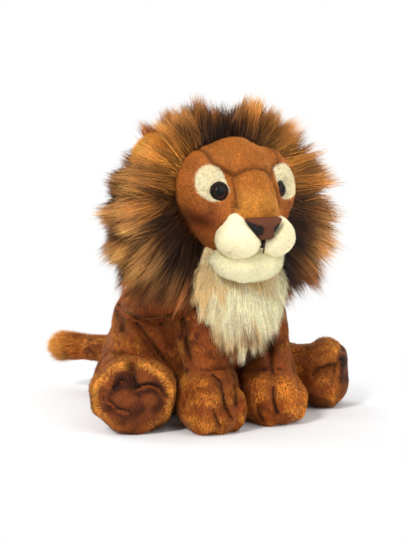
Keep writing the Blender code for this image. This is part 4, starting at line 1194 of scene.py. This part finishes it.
def mane_reach(angle):
    """Radius of the mane's outline seen from the front; 0 is to the lion's side, 90 is up."""
    a = np.degrees(np.arctan2(np.sin(angle), np.abs(np.cos(angle))))
    places = [-90, -70, -55, -45, -34, -10, 0, 20, 38, 50, 65, 80, 90]
    sizes = [78, 96, 118, 132, 139, 137, 132, 122, 116, 106, 106, 100, 90]
    return np.interp(a, places, sizes)


def mane_taper(y):
    """Share of the outline's radius that the mane has at a distance behind its widest place."""
    return np.interp(y, [-110, -60, -45, -30, -10, 5, 20], [0.9, 1.0, 0.93, 0.83, 0.72, 0.62, 0.5])


def mane_skin():
    """Under-layer that carries the long pile: a ring round the face, closed behind the head."""
    turns, steps = 110, 30
    places = [0, 0.18, 0.42, 0.62, 0.82, 1.0]
    rings = []
    for s in (j / steps for j in range(steps + 1)):
        y = np.interp(s, places, [-78, -81, -60, -26, -2, 8])
        ring = []
        for angle in (2 * math.pi * i / turns for i in range(turns)):
            reach = float(mane_reach(angle))
            inner = 56 - 8 * float(smooth(-0.1, -0.7, math.sin(angle)))
            radii = [inner, inner + (reach - 86) * 0.6, reach - 32, reach * 0.80 - 22, reach * 0.5, 0.5]
            r = np.interp(s, places, radii)
            ring.append([r * math.cos(angle), y, max(MANE_CENTRE[2] + r * math.sin(angle), MANE_LOWEST)])
        rings.append(ring)
    points, quads = ring_skin(rings)
    for _ in range(4):
        points = relax(points, quads, 0.5)
    points[-turns:] = points[-turns:].mean(0)
    return turned(points, quads, points - vec(0, -40, 203))


def mane_polar(p):
    """Distance and angle from the mane's middle, seen from the front."""
    x, z = p[:, 0], p[:, 2] - MANE_CENTRE[2]
    return np.hypot(x, z), np.arctan2(z, x)


def tuft_gap(angle):
    """Signed angle to the nearest tuft."""
    gap = np.angle(np.exp(1j * (TUFTS[None] - angle[:, None])))
    return gap[np.arange(len(angle)), np.abs(gap).argmin(1)]


def mane_flow(p, n):
    """Direction of the hair where it leaves the backing: outwards, drawn into tufts, backwards behind."""
    r, angle = mane_polar(p)
    drawn = angle + tuft_gap(angle) * 0.75 * smooth(50, 90, r)
    radial = np.stack([np.cos(drawn), np.zeros(len(p)), np.sin(drawn)], 1)
    back = smooth(-50, 0, p[:, 1])[:, None]
    low = smooth(0.3, -0.8, np.sin(angle))[:, None]
    return unit(radial * (1 - 0.5 * back) + vec(0, 0.5, 0) * back + vec(0, 0, -0.9) * back
                - vec(0, 0, 0.34) * low)


def mane_length(p, n):
    r, angle = mane_polar(p)
    tuft = 1.05 - 0.9 * np.clip(np.abs(tuft_gap(angle)), 0, 0.16)
    return np.clip(mane_reach(angle) * mane_taper(p[:, 1] + 8) * tuft - r, 20, 74)


def mane_where(p, n):
    """Thinner behind, and bare at the chest and in the ears."""
    chest = (np.abs(p[:, 0]) < 34) & (p[:, 2] < 165) & (p[:, 1] < -50)
    ear = np.linalg.norm((mirrored(p) - EAR_SPOT) * vec(1, 0.6, 1), axis=1) < 15
    return np.where(p[:, 1] < -45, 1.5, 0.8) * (~chest) * (~ear)


def mane_tones(root, kids, steps, rng, pick):
    """Nearly black at the face, brown and copper farther out, pale copper at the tips."""
    guides = pick.max() + 1
    lock = np.exp(rng.normal(-0.12, 0.46, guides))[pick]
    k = np.clip(lock * np.exp(rng.normal(0, 0.28, len(pick))) * 1.22, 0.2, 1.8)[:, None]
    start = root[np.searchsorted(pick, np.arange(guides))]
    off = np.abs(tuft_gap(mane_polar(start)[1]))
    # painted shade in the gaps of the tufts
    shade_in_tuft_gaps = smooth(0.05, 0.13, off + rng.normal(0, 0.025, guides))[pick][:, None]
    streak = smooth(-0.2, 0.7, noise(start, 34, 71) + rng.normal(0, 0.35, guides))[pick]
    shadow = smooth(0.25, 0.85, noise(start, 26, 72) + rng.normal(0, 0.3, guides))[pick][:, None]
    brown = mix(MANE_MID, MANE_COPPER, streak)
    out = []
    for n, s in enumerate(steps):
        p = kids[:, n]
        y, z = p[:, 1], p[:, 2]
        r, angle = mane_polar(p)
        low = smooth(0.2, -0.5, np.sin(angle))
        far = smooth(64, 108, r - 20 * low * smooth(-30, -60, y) + 75 * smooth(-48, -12, y))
        tone = mix(MANE_ROOT, brown, far)
        tone = mix(tone, MANE_TIP, smooth(0.5, 1.0, s) * smooth(76, 112, r))
        # golden round the ears; painted shade on shadowed locks, more of it low on the mane, along the lower edge
        # and in the gaps of the tufts
        glow = sum(np.exp(-((p - EAR_SPOT * vec(side, 1, 1)) ** 2).sum(1) / 29 ** 2) for side in (-1, 1))
        glow = np.minimum(glow, 1)[:, None]
        tone = tone * (1 - 0.9 * glow) + GOLD * 0.9 * glow
        tone = tone * (1 - 0.78 * shadow * (0.5 + 0.5 * low[:, None]))
        tone = tone * (1 - vec(0.45, 0.60, 0.65) * smooth(146, 124, z)[:, None])
        out.append(tone * (1 - 0.66 * shade_in_tuft_gaps * (1 - 0.8 * glow)) * k)
    return np.stack(out, 1)


mane = mane_skin()
skin_object("mane_backing", mane, MANE_ROOT, "head", "mane_pile", 0.4, "mane_ruff")
long_pile("mane_locks", 4, mane, 1300, 52, mane_length, mane_flow, mane_tones, "head", "mane_pile", 201,
          mane_where, width=0.62, clump=0.6, gravity=0.12, lift=0.35, spread=9.0, sway=0.10)


# Beard

# the beard hangs on the chest; its carrier names the neck and the head with two places, but the beard stays fixed
# where it is made
BEARD_BEND = ("neck", "head", (0, -0.100, 0.095), (0, -0.100, 0.150))


def beard_field(p):
    """Flat cushion that hangs from the chin in a point to the lion's right."""
    z = p[:, 2]
    x = np.abs(p[:, 0] - 4 + 14 * smooth(130, 84, z))
    half = np.interp(z, [60, 70, 83, 101, 119, 136, 150, 170], [0.8, 1, 6, 18, 36, 48, 47, 26])
    mid = np.interp(z, [58, 100, 130, 150, 170], [-106, -106, -98, -91, -80])
    thick = 5.0 * np.sqrt(np.clip(1 - (x / np.maximum(half, 1)) ** 2, 0, 1)) + 0.5
    flat = np.maximum(np.abs(p[:, 1] - mid - 0.0035 * x ** 2) - thick, x - half) * 0.6
    return np.maximum(flat, np.maximum(68 - z, z - 170))


def beard_flow(p, n):
    return unit(np.stack([p[:, 0] * 0.006, np.full(len(p), -0.10), np.full(len(p), -1.0)], 1))


def beard_length(p, n):
    """Longest at the throat, shorter below and at the sides."""
    aside = smooth(16, 48, np.abs(p[:, 0] + 2))
    return np.interp(p[:, 2], [66, 90, 120, 160], [14, 28, 38, 42]) * (1 - 0.5 * aside)


def beard_where(p, n):
    return (n[:, 1] < 0.2) * (0.28 + 1.1 * smooth(76, 112, p[:, 2])) * (p[:, 2] < 166)


def beard_tones(root, kids, steps, rng, pick):
    """Cream, golden at the throat and to the lion's right, whiter to its left, with painted shade below: darker
    locks that stand for the shaded gaps.
    """
    guides = pick.max() + 1
    lock = np.exp(rng.normal(-0.02, 0.10, guides))[pick] * np.exp(rng.normal(-0.02, 0.16, len(pick)))
    lock = np.minimum(lock, 1.15)[:, None]
    # painted shade: some locks low on the beard are dark brown, as the shaded gaps look
    shadow_locks = (rng.random(guides) < 0.40)[pick] * smooth(128, 92, root[:, 2])
    gold = noise(root, 30, 9) * 0.5 + 0.1 - root[:, 0] * 0.012 + 0.5 * smooth(132, 146, root[:, 2])
    gold = smooth(0.0, 0.9, gold + rng.normal(0, 0.2, guides)[pick])[:, None]
    out = []
    for s in steps:
        base, gilt = CREAM * (0.84 + 0.22 * s), srgb(236, 186, 104) * (0.80 + 0.22 * s)
        tone = base * (1 - gold * 0.7) + gilt * gold * 0.7
        out.append(mix(tone, srgb(132, 82, 46), shadow_locks) * lock)
    return np.stack(out, 1)


beard = net(beard_field, (-60, -124, 62), (58, -66, 176), 2.5)
# the backing is painted dark brown low down, as shade seen through the gaps of the locks
skin_object("beard_backing", beard, mix(CREAM_DARK, srgb(112, 66, 36), smooth(132, 104, beard[0][:, 2])),
            BEARD_BEND, "beard_pile", 0.3, "beard_bib")
long_pile("beard_locks", 2, beard, 420, 120, beard_length, beard_flow, beard_tones, BEARD_BEND, "beard_pile",
          301, beard_where, width=0.42, clump=0.86, gravity=0.6, lift=0.45, spread=8, sway=0.13, tall=0.25)
